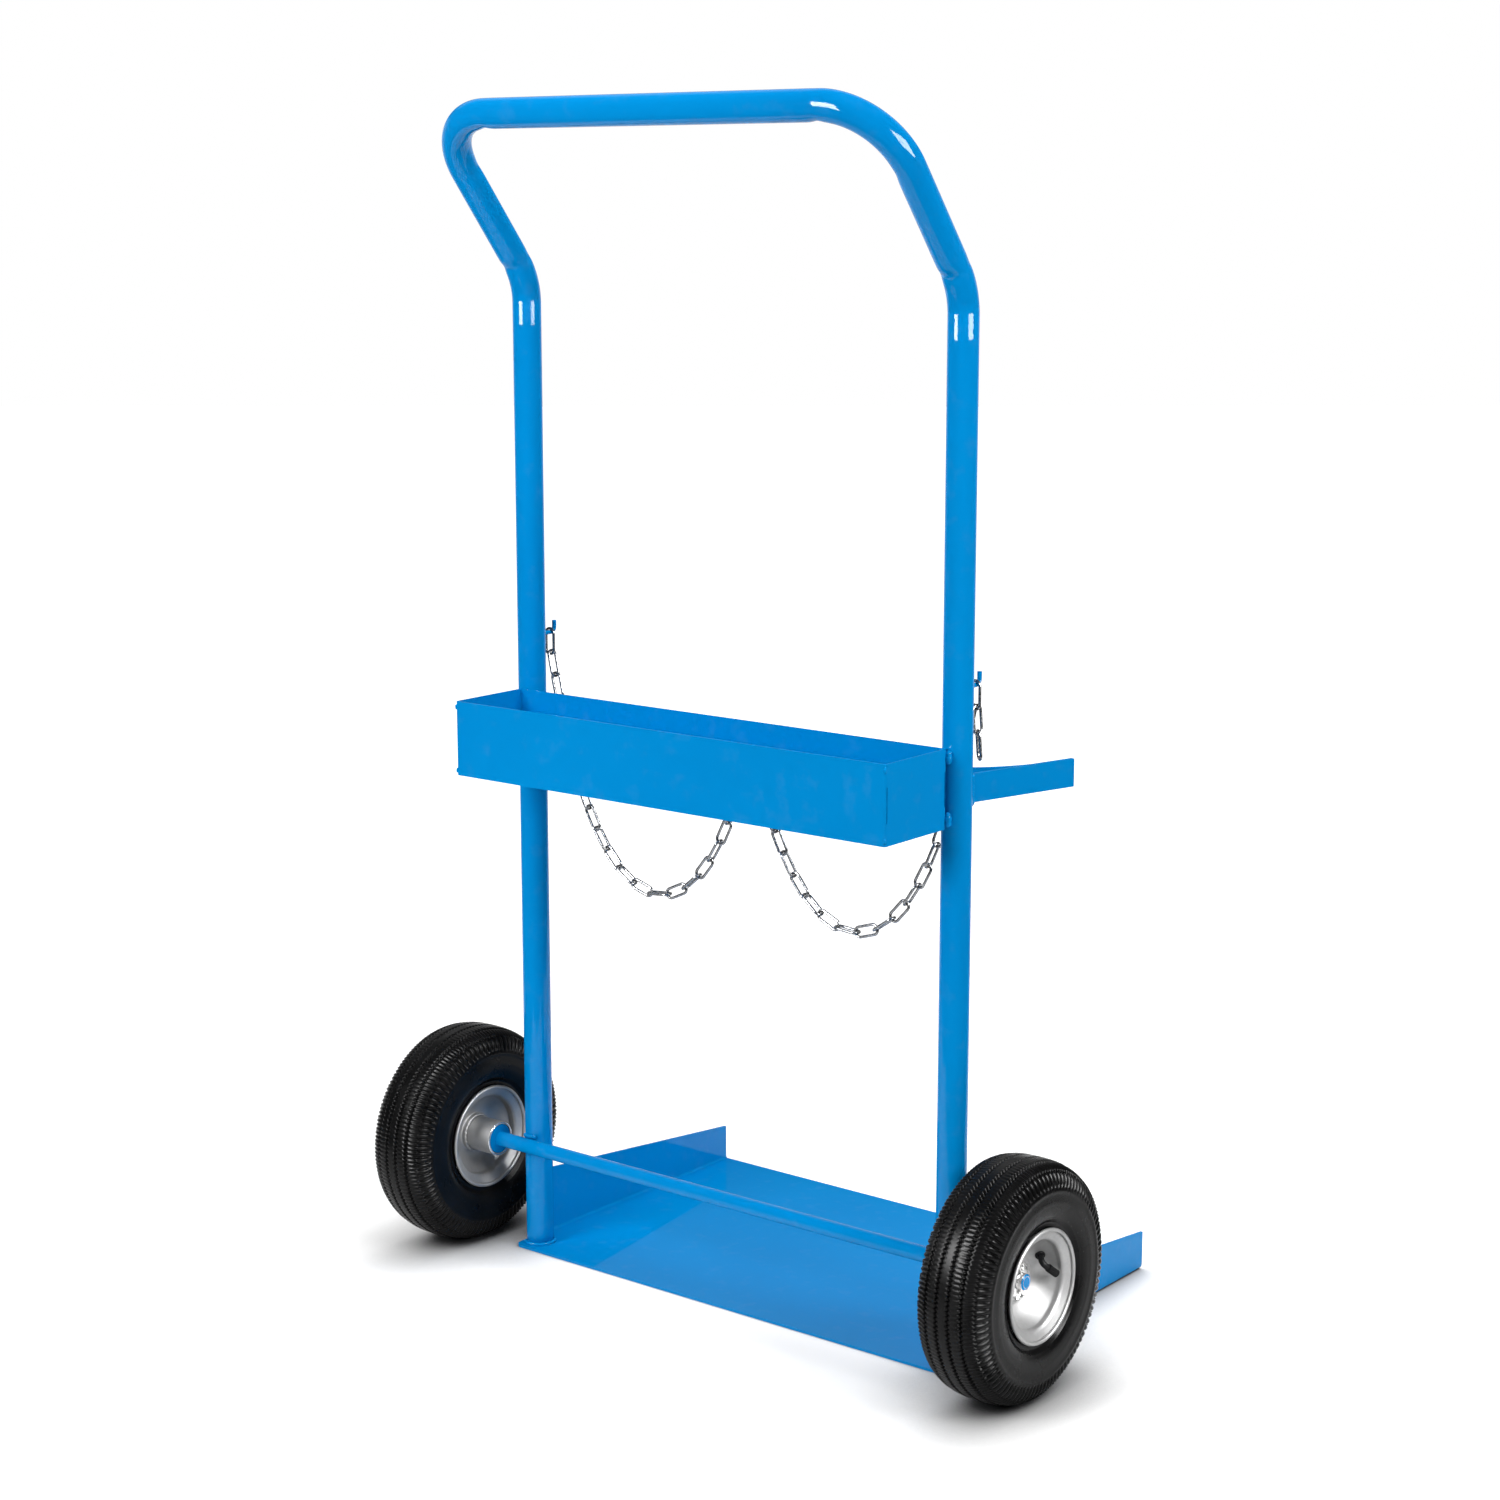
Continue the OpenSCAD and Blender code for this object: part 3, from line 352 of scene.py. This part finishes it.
for side, word in sideWords:
    body = "wheel_" + word
    makePiece("tread_" + word, [treadGrid(side)], body, "tyre_rubber", ["tyre_" + word])
    makePiece("tyreOuter_" + word, [sideGrid(side, 1)], body, "tyre_rubber")
    makePiece("tyreInner_" + word, [sideGrid(side, -1)], body, "tyre_rubber")
print("tyres made")

rim = {
    "steps": 192, "hubR": 20.0, "neck": 4.0, "sheet": 2.0, "edgeR": 46.0, "curve": 1.8, "bowlRows": 40,
    "neckRows": 7, "backRows": 30, "backR": 47.9, "seatR": (0.2, 1.6), "seatA": (4.2, 4.4),
    "skirt": 6.0, "skirtR": (46.3, 46.6, 46.8, 47.6), "skirtRise": (0.8, 2.6), "skirtRound": 0.4,
    "outerHub": 3.0, "outerRim": 25.0, "innerHub": 12.0, "innerRim": 23.0}


# Pressed dish as a closed section around the axle: neck on the hub, power-curve bowl, skirt in the rim.
def dishGrid(side, face, atHub, atRim):
    start = rim["hubR"] + rim["neck"]
    r = np.linspace(start, rim["edgeR"], rim["bowlRows"])
    bowl = atHub + (atRim - atHub) * ((r - start) / (rim["edgeR"] - start)) ** rim["curve"]
    bend = np.linspace(0, 1, rim["neckRows"])[1:-1]
    neckR = rim["hubR"] + rim["sheet"] + (rim["neck"] - rim["sheet"]) * (1 - np.sqrt(1 - bend ** 2))
    neckA = atHub + rim["neck"] * (1 - bend) ** 2
    skirt = np.array([*rim["skirtRise"], rim["skirt"] - rim["skirtRound"], rim["skirt"]])
    faceR = np.concatenate([rim["hubR"] + np.array(rim["seatR"]), neckR, r, rim["skirtR"]])
    faceA = np.concatenate([atHub + np.array(rim["seatA"]), neckA, bowl, atRim + skirt])
    sheetR = np.linspace(rim["backR"], rim["hubR"] + rim["seatR"][0], rim["backRows"])
    backR = np.concatenate([[rim["backR"]], sheetR])
    backA = np.concatenate([[atRim + rim["skirt"] - 1], np.interp(sheetR, r, bowl) - rim["sheet"]])
    a, r = np.concatenate([faceA, backA]), np.concatenate([faceR, backR])
    turn = turns(rim["steps"])[:, None]
    return wheelPoints(side, face * a[None, :], r[None, :], turn), True, True, side * face > 0


lip = {"roll": 1.5, "rollR": 58.2, "rollA": 36.4, "rollFrom": -100, "rollTo": 205, "rollRows": 24,
       "flareFrom": 56.6, "flareTo": 48.8, "flareRows": 8, "faceR": 58.5, "faceA": 37.35, "drop": 5.0,
       "run": 10.5, "footR": (48.0, 47.3, 46.7, 46.5), "footA": (32.0, 31.3, 30.4, 28.5)}


# Lip: arc of the rolled edge, then the flared face, straight from the roll down to the dish's skirt.
def lipGrid(side, face):
    roll = np.radians(np.linspace(lip["rollFrom"], lip["rollTo"], lip["rollRows"]))
    flare = np.linspace(lip["flareFrom"], lip["flareTo"], lip["flareRows"])
    r = np.concatenate([lip["rollR"] + lip["roll"] * np.cos(roll), flare, lip["footR"]])
    flareA = lip["faceA"] - (lip["faceR"] - flare) * lip["drop"] / lip["run"]
    a = np.concatenate([lip["rollA"] + lip["roll"] * np.sin(roll), flareA, lip["footA"]])
    turn = turns(rim["steps"])[:, None]
    return wheelPoints(side, face * a[None, :], r[None, :], turn), True, False, side * face < 0


hubTrim = {"beadOut": 4.4, "beadUp": 1.0, "bead": 1.7, "ripple": 0.25, "waves": 24, "beadSides": 12,
           "edge": 0.9, "edgeSides": 10, "mouths": (-52.6, 6.6)}


# Round bead around the hub where it meets a dish: a ring whose thickness has a slow ripple.
def hubBead(side, face, at):
    turn, around = turns(rim["steps"])[:, None], turns(hubTrim["beadSides"])[None, :]
    size = hubTrim["bead"] + hubTrim["ripple"] * np.sin(turn * hubTrim["waves"])
    a = at + hubTrim["beadOut"] + size * np.cos(around)
    r = rim["hubR"] + hubTrim["beadUp"] + size * np.sin(around)
    return wheelPoints(side, face * a, r, turn), True, True, side * face > 0


# Turned edge of a hub's mouth: a thin ring of round section, flush with the hub's outside.
def hubEdge(side, at):
    turn, around = turns(rim["steps"])[:, None], turns(hubTrim["edgeSides"])[None, :]
    a = at + hubTrim["edge"] * np.cos(around)
    r = rim["hubR"] - hubTrim["edge"] + hubTrim["edge"] * np.sin(around)
    return wheelPoints(side, a, r, turn), True, True, side > 0


for side, word in sideWords:
    body = "wheel_" + word
    makePiece("dishOuter_" + word, [dishGrid(side, 1, rim["outerHub"], rim["outerRim"])], body, "rim_zinc",
              ["rim_dish_outer_" + word])
    makePiece("dishInner_" + word, [dishGrid(side, -1, rim["innerHub"], rim["innerRim"])], body, "rim_zinc",
              ["rim_dish_inner_" + word])
    makePiece("hubEdges_" + word, [hubEdge(side, at) for at in hubTrim["mouths"]], body, "bright_zinc")
    makePiece("rimLips_" + word, [lipGrid(side, 1), lipGrid(side, -1)], body, "rim_zinc")
    beads = [hubBead(side, 1, rim["outerHub"]), hubBead(side, -1, rim["innerHub"])]
    makePiece("hubBeads_" + word, beads, body, "rim_zinc")
print("rims made")

valve = {"angle": math.radians(29), "lean": math.radians(50), "r": 28.0, "out": 21.0, "along": 12.6,
         "ringR": 4.0, "thick": 1.5, "tall": 1.3, "steps": 40, "sides": 16}


# Moulded collar at the foot of the valve: an oval ring about the stem's own line, where it leaves the dish.
def valveFoot(side):
    around, section = turns(valve["steps"])[:, None], turns(valve["sides"])[None, :]
    wide = valve["ringR"] + valve["thick"] * np.cos(section)
    along = valve["along"] + valve["thick"] * valve["tall"] * np.sin(section)
    first, second = wide * np.cos(around), wide * np.sin(around)
    a = valve["out"] - along * math.cos(valve["lean"]) + first * math.sin(valve["lean"])
    r = valve["r"] + along * math.sin(valve["lean"]) + first * math.cos(valve["lean"])
    y = wheel["axleY"] + r * math.cos(valve["angle"]) - second * math.sin(valve["angle"])
    z = wheel["axleZ"] + r * math.sin(valve["angle"]) + second * math.cos(valve["angle"])
    return np.stack([side * (wheel["track"] / 2 + a), y, z], -1) * mm, True, True, side > 0


tip = {"from": 391.5, "to": 401.15, "r": 8.65, "face": 5.9, "chamfer": 1.4, "lap": 0.5, "inset": 0.3,
       "steps": 64}


# Bare end of the axle: a thin sleeve and its chamfer, from the pin out to the end face.
def axleTip(side):
    x = np.array([tip["from"], tip["from"], tip["to"] - tip["chamfer"], tip["to"], tip["to"] - tip["inset"]])
    r = np.array([tip["r"] - tip["lap"], tip["r"], tip["r"], tip["face"], tip["face"] - tip["inset"]])
    turn = turns(tip["steps"])[:, None]
    return wheelPoints(side, (x - wheel["track"] / 2)[None, :], r[None, :], turn), True, False, side < 0


for side, word in sideWords:
    makePiece("valveFoot_" + word, [valveFoot(side)], "wheel_" + word, "valve_rubber")
makePiece("axleTips", [axleTip(1), axleTip(-1)], "frame", "bright_zinc")
print("valve feet and axle tips made")

tube = {
    "x": 291.0, "r": 15.9, "wall": 2.0, "foot": 3.0, "kneeZ": 1121.5, "handleZ": 1295.5, "setBack": 140.0,
    "bendR": 75.0, "sides": 72, "fine": 1.5, "coarse": 12.0,
    "creases": ({"at": (291.0, -29.0, 1132.0), "size": (12.0, 20.0, 4.5), "depth": 1.6},
                {"at": (275.0, -93.0, 1237.0), "size": (12.0, 12.0, 5.0), "depth": 1.0},
                {"at": (216.0, -130.0, 1283.0), "size": (5.0, 12.0, 12.0), "depth": 2.0})}
tubeLean = math.atan2(tube["setBack"], tube["handleZ"] - tube["kneeZ"])


# Centre line of the bent tube from foot to foot: upright, knee arc, slant, corner arc and bar, each from
# where the last one ends, then the same mirrored. Gives the points and two directions across the line.
def tubeRun(fine, coarse):
    bend, up, back = tube["bendR"], np.array([0, 0, 1.0]), np.array([0, -1.0, 0])
    leaning, inward = np.array([0, -math.sin(tubeLean), math.cos(tubeLean)]), np.array([-1.0, 0, 0])
    tangent = bend * math.tan(tubeLean / 2)
    slant = math.hypot(tube["setBack"], tube["handleZ"] - tube["kneeZ"]) - tangent - bend
    at = np.array([tube["x"], 0, tube["foot"]])
    points, ways, tilts = [at[None, :]], [up[None, :]], [up[None, :]]
    stretches = (  # direction, direction it turns to, angle, length and step
        (up, back, 0.0, tube["kneeZ"] - tangent - tube["foot"], coarse),
        (up, back, tubeLean, bend * tubeLean, fine),
        (leaning, inward, 0.0, slant, fine),
        (leaning, inward, math.pi / 2, bend * math.pi / 2, fine),
        (inward, inward, 0.0, tube["x"] - bend, fine))
    for way, toward, angle, length, step in stretches:
        part = np.linspace(0, 1, round(length / step) + 1)[1:, None]
        turn = part * angle
        moved = bend * (np.sin(turn) * way + (1 - np.cos(turn)) * toward) if angle else part * length * way
        points.append(at + moved)
        ways.append(np.cos(turn) * way + np.sin(turn) * toward)
        tilts.append(ways[-1] if toward is back else leaning + 0 * turn)
        at = points[-1][-1]
    points, ways, tilts = (np.concatenate(rows) for rows in (points, ways, tilts))
    second = np.cross(tilts, np.array([1.0, 0, 0]))
    first = np.cross(second, ways)
    mirror = np.array([-1.0, 1, 1])
    return [np.concatenate([rows, rows[-2::-1] * mirror]) for rows in (points, first, second)]


# Depth of the bender's creases at a point: a bell curve of the distance from each centre, in lengths that
# lean with the slant, the same on both sides.
def creaseDepth(points):
    total = np.zeros(points.shape[:-1])
    folded = points * np.where(points[..., :1] < 0, [-1.0, 1, 1], 1.0)
    for crease in tube["creases"]:
        x, y, z = np.moveaxis(folded - crease["at"], -1, 0)
        across = y * math.cos(tubeLean) + z * math.sin(tubeLean)
        along = z * math.cos(tubeLean) - y * math.sin(tubeLean)
        wide, deep, tall = crease["size"]
        square = (x / wide) ** 2 + (across / deep) ** 2 + (along / tall) ** 2
        total += crease["depth"] * np.exp(-0.5 * square)
    return total


# Hollow tube: the outside from foot to foot with its creases, then the inside back again.
def tubeGrid():
    around = turns(tube["sides"])[None, :, None]
    rows = []
    for r, fine in ((tube["r"], tube["fine"]), (tube["r"] - tube["wall"], tube["coarse"] / 2)):
        centre, first, second = tubeRun(fine, tube["coarse"])
        outward = np.cos(around) * first[:, None, :] + np.sin(around) * second[:, None, :]
        skin = centre[:, None, :] + r * outward
        rows.append(skin - creaseDepth(skin)[..., None] * outward)
    return np.concatenate([rows[0], rows[1][::-1]]) * mm, True, True, True


makePiece("handleTube", [tubeGrid()], "frame", "blue_paint", ["handle_frame"], "bent_tube")
print("handle made")

weld = {"ripple": 2.6, "sides": 12, "swell": 0.22, "smooth": 0.04, "drift": 0.06, "driftRate": 0.9,
        "taper": 0.8, "point": 0.02}


# Weld bead along a path: a round section that swells and shrinks with each ripple and closes at both ends.
def beadGrid(path, size, seed, swell=weld["swell"]):
    step = np.gradient(path, axis=0)
    along = step / np.linalg.norm(step, axis=1)[:, None]
    length = np.concatenate([[0], np.cumsum(np.linalg.norm(np.diff(path, axis=0), axis=1))])
    helper = np.where(np.abs(along[:, 2:]) > 0.8, np.array([[1.0, 0, 0]]), np.array([[0, 0, 1.0]]))
    first = np.cross(along, helper)
    first /= np.linalg.norm(first, axis=1)[:, None]
    second = np.cross(along, first)
    phase = np.abs(np.sin(math.pi * (length + seed) / weld["ripple"]))
    ends = np.sqrt(np.clip(np.minimum(length, length[-1] - length) / (weld["taper"] * size), 0, 1))
    drift = weld["drift"] * np.sin(length * weld["driftRate"] + seed)
    radius = size * (1 - swell + swell * phase + drift) * np.maximum(ends, weld["point"])
    around = turns(weld["sides"])[None, :, None]
    outward = np.cos(around) * first[:, None, :] + np.sin(around) * second[:, None, :]
    return (path[:, None, :] + radius[:, None, None] * outward) * mm, False, True, True


# Level arc about a centre, with angles in degrees.
def arcPath(centre, r, start, end, steps):
    turn = np.radians(np.linspace(start, end, steps))
    return np.stack([centre[0] + r * np.cos(turn), centre[1] + r * np.sin(turn), centre[2] + 0 * turn], -1)


# Upright line at x and y.
def uprightPath(x, y, span, steps):
    z = np.linspace(*span, steps)
    return np.stack([x + 0 * z, y + 0 * z, z], -1)


baseWeld = {"z": 4.2, "out": 0.7, "from": 42, "to": 318, "steps": 120, "size": 2.3}
axleWeld = {"half": 9.5, "out": 0.9, "back": 0.4, "up": 0.6, "steps": 40, "size": 2.7}
trayWeld = {"tacks": ((584.0, 600.0), (649.0, 664.0)), "out": 1.2, "y": -17.8, "steps": 40, "size": 3.9}
seamWeld = {"tacks": ((585.0, 591.0), (656.0, 662.0)), "in": 0.9, "y": -123.9, "steps": 24, "size": 1.9}
armWeld = {"x": 293.6, "y": 20.4, "span": (599, 635), "steps": 40, "size": 4.6, "swell": 0.03}
bandWeld = {"x": 280.2, "y": 15.5, "span": (603, 631), "steps": 60, "size": 2.4}
crossWeld = {"from": 65.5, "to": 105.5, "y": 13.4, "levels": (609.0, 625.0), "steps": 80, "size": 2.4}
baseBeads, axleBeads, trayBeads, restBeads = [], [], [], []
for side in (1, -1):
    x = side * tube["x"]
    outward = 0 if side > 0 else 180
    ring = arcPath((x, 0, baseWeld["z"]), tube["r"] + baseWeld["out"], outward + baseWeld["from"],
                   outward + baseWeld["to"], baseWeld["steps"])
    baseBeads.append(beadGrid(ring, baseWeld["size"], 1.0 + side))
    across = np.linspace(-axleWeld["half"], axleWeld["half"], axleWeld["steps"])
    behind = -np.sqrt((tube["r"] + axleWeld["out"]) ** 2 - across ** 2) - axleWeld["back"]
    for up in (1, -1):
        level = wheel["axleZ"] + up * (wheel["axleR"] + axleWeld["up"])
        path = np.stack([x + across, behind, level + 0 * across], -1)
        axleBeads.append(beadGrid(path, axleWeld["size"], 2.0 + up))
    for tack in trayWeld["tacks"]:
        path = uprightPath(x + trayWeld["out"] * side, trayWeld["y"], tack, trayWeld["steps"])
        trayBeads.append(beadGrid(path, trayWeld["size"], tack[0], weld["smooth"]))
    for tack in seamWeld["tacks"]:
        path = uprightPath(x - seamWeld["in"] * side, seamWeld["y"], tack, seamWeld["steps"])
        trayBeads.append(beadGrid(path, seamWeld["size"], tack[0], weld["smooth"]))
    path = uprightPath(side * armWeld["x"], armWeld["y"], armWeld["span"], armWeld["steps"])
    restBeads.append(beadGrid(path, armWeld["size"], 2.0, armWeld["swell"]))
    path = uprightPath(side * bandWeld["x"], bandWeld["y"], bandWeld["span"], bandWeld["steps"])
    restBeads.append(beadGrid(path, bandWeld["size"], 0.5))
    along = np.linspace(side * crossWeld["from"], side * crossWeld["to"], crossWeld["steps"])
    for level in crossWeld["levels"]:
        path = np.stack([along, crossWeld["y"] + 0 * along, level + 0 * along], -1)
        restBeads.append(beadGrid(path, crossWeld["size"], level))
makePiece("baseBeads", baseBeads, "frame", "painted_weld", ["base_welds"])
makePiece("axleBeads", axleBeads, "frame", "painted_weld", ["axle_welds"])
makePiece("trayBeads", trayBeads, "frame", "painted_weld", ["tray_welds"])
makePiece("restBeads", restBeads, "frame", "painted_weld", ["rest_welds"])
print("welds made")

# Stage: the floor's white, the tone of its painted contact shadow, the floor's outline, its glow near and
# far, and the reach and span of the ambient occlusion that paints the contact shadow.
stage = {"white": (0.92, 0.92, 0.92, 1), "paintedShadow": (0.03, 0.03, 0.033, 1), "rough": 0.9, "gloss": 0.1,
         "nearAt": -0.72, "nearHalf": 0.74, "farAt": 14.0, "farHalf": 5.0,  # wider away from the camera
         "nearLift": 0.26, "farLift": 0.95, "liftSpan": (0.9, 3.0), "contact": 0.14,
         "contactSpan": (0.2, 0.95)}
backWay = Vector((-0.62, 0.785, 0.0))  # level direction from the camera into the picture
sideWay = Vector((0.785, 0.62, 0.0))
floorCorners = ((stage["nearAt"], -stage["nearHalf"]), (stage["nearAt"], stage["nearHalf"]),
                (stage["farAt"], stage["farHalf"]), (stage["farAt"], -stage["farHalf"]))
floorMesh = bpy.data.meshes.new("floor")
floorPoints = [backWay * along + sideWay * across for along, across in floorCorners]
floorMesh.from_pydata(floorPoints, [], [(0, 1, 2, 3)])
floor = bpy.data.objects.new("floor", floorMesh)
bpy.context.scene.collection.objects.link(floor)
# Pale floor. Ambient occlusion paints a contact shadow on it: near the object the colour turns to the painted
# shadow tone and the glow fades. The glow is seen by camera and mirror rays only, and grows from near the
# centre to far.
floorLook, tree, surface = newMaterial("paleFloor")
shade = tree.nodes.new("ShaderNodeAmbientOcclusion")
shade.samples = 16
setInputs(tree, shade, {"Distance": stage["contact"]})
outsidePaintedShadow = stretched(tree, shade.outputs["AO"], stage["contactSpan"])
ray = tree.nodes.new("ShaderNodeLightPath")
mirrored = calc(tree, "MAXIMUM", ray.outputs["Is Glossy Ray"], ray.outputs["Is Transmission Ray"])
seen = calc(tree, "MAXIMUM", ray.outputs["Is Camera Ray"], mirrored)
reach = tree.nodes.new("ShaderNodeVectorMath")
reach.operation = "LENGTH"
tree.links.new(objectPlace(tree), reach.inputs[0])
lift = stretched(tree, reach.outputs["Value"], stage["liftSpan"], stage["nearLift"], stage["farLift"])
# The painted contact shadow darkens the base colour and also the glow.
setInputs(tree, surface, {
    "Base Color": blended(tree, outsidePaintedShadow, stage["paintedShadow"], stage["white"]), "Roughness": stage["rough"],
    "Specular IOR Level": stage["gloss"], "Emission Color": (1, 1, 1, 1),
    "Emission Strength": calc(tree, "MULTIPLY", calc(tree, "MULTIPLY", seen, lift), outsidePaintedShadow)})
floorMesh.materials.append(floorLook)

studio = {"ambient": 0.26, "least": 0.06, "overhead": 0.9, "backSpan": (0.5, 0.85), "lowSpan": (0.06, 0.2),
          "highSpan": (0.33, 0.44)}
world = bpy.data.worlds.new("studio")
bpy.context.scene.world = world
world.use_nodes = True
tree = world.node_tree
tree.nodes.clear()
output = tree.nodes.new("ShaderNodeOutputWorld")
sky = tree.nodes.new("ShaderNodeBackground")
tree.links.new(sky.outputs["Background"], output.inputs["Surface"])
ray = tree.nodes.new("ShaderNodeLightPath")
wayOut = tree.nodes.new("ShaderNodeTexCoord").outputs["Generated"]
toward = tree.nodes.new("ShaderNodeVectorMath")
toward.operation = "DOT_PRODUCT"
tree.links.new(wayOut, toward.inputs[0])
toward.inputs[1].default_value = backWay
parts = tree.nodes.new("ShaderNodeSeparateXYZ")
tree.links.new(wayOut, parts.inputs[0])
behind = stretched(tree, toward.outputs["Value"], studio["backSpan"])
low = stretched(tree, parts.outputs["Z"], studio["lowSpan"], 1.0, studio["least"])
high = stretched(tree, parts.outputs["Z"], studio["highSpan"], studio["least"], studio["overhead"])
backdrop = calc(tree, "MULTIPLY", behind, calc(tree, "MAXIMUM", low, high))
backdrop = calc(tree, "MAXIMUM", backdrop, studio["least"])
mirrored = calc(tree, "MAXIMUM", ray.outputs["Is Glossy Ray"], ray.outputs["Is Transmission Ray"])
lighting = calc(tree, "MULTIPLY", calc(tree, "SUBTRACT", 1.0, mirrored), studio["ambient"])
strength = calc(tree, "ADD", calc(tree, "MULTIPLY", mirrored, backdrop), lighting)
setInputs(tree, sky, {"Color": (1, 1, 1, 1),
                      "Strength": calc(tree, "MAXIMUM", ray.outputs["Is Camera Ray"], strength)})

lights = {
    "softLeft": {"at": (-0.62, -2.30, 1.60), "look": (0.0, 0.0, 0.85), "size": (1.15, 1.0), "power": 58.0},
    "softRight": {"at": (2.25, 0.0, 1.60), "look": (0.0, 0.0, 0.85), "size": (1.3, 1.0), "power": 43.0},
    "softTop": {"at": (-0.1, 0.5, 2.8), "look": (0.0, 0.1, 0.3), "size": (1.5, 1.5), "power": 40.0},
}
gleam = {  # the two boxes as they are mirrored, just in front of those that light
    "softLeftGleam": {**lights["softLeft"], "at": (-0.60, -2.23, 1.575), "power": 225.0},
    "softRightGleam": {**lights["softRight"], "at": (2.18, 0.0, 1.575), "power": 190.0},
}
for name, setup in {**lights, **gleam}.items():
    data = bpy.data.lights.new(name, "AREA")
    data.shape = "RECTANGLE"
    data.size, data.size_y = setup["size"]
    data.energy = setup["power"]
    lamp = bpy.data.objects.new(name, data)
    bpy.context.scene.collection.objects.link(lamp)
    lamp.visible_glossy = name in gleam
    lamp.visible_diffuse = name in lights
    lamp.location = setup["at"]
    aim = Vector(setup["look"]) - Vector(setup["at"])
    lamp.rotation_euler = aim.to_track_quat("-Z", "Y").to_euler()

view = {"at": (1.88285, -2.35449, 1.20805), "forward": (-0.6085, 0.7706, -0.1894), "lens": 68.525,
        "sensor": 36.0}
cameraData = bpy.data.cameras.new("camera")
cameraData.lens = view["lens"]
cameraData.sensor_width = view["sensor"]
camera = bpy.data.objects.new("camera", cameraData)
bpy.context.scene.collection.objects.link(camera)
camera.location = view["at"]
camera.rotation_euler = Vector(view["forward"]).to_track_quat("-Z", "Y").to_euler()
bpy.context.scene.camera = camera
bpy.context.scene.view_settings.view_transform = "Standard"
print("stage set")
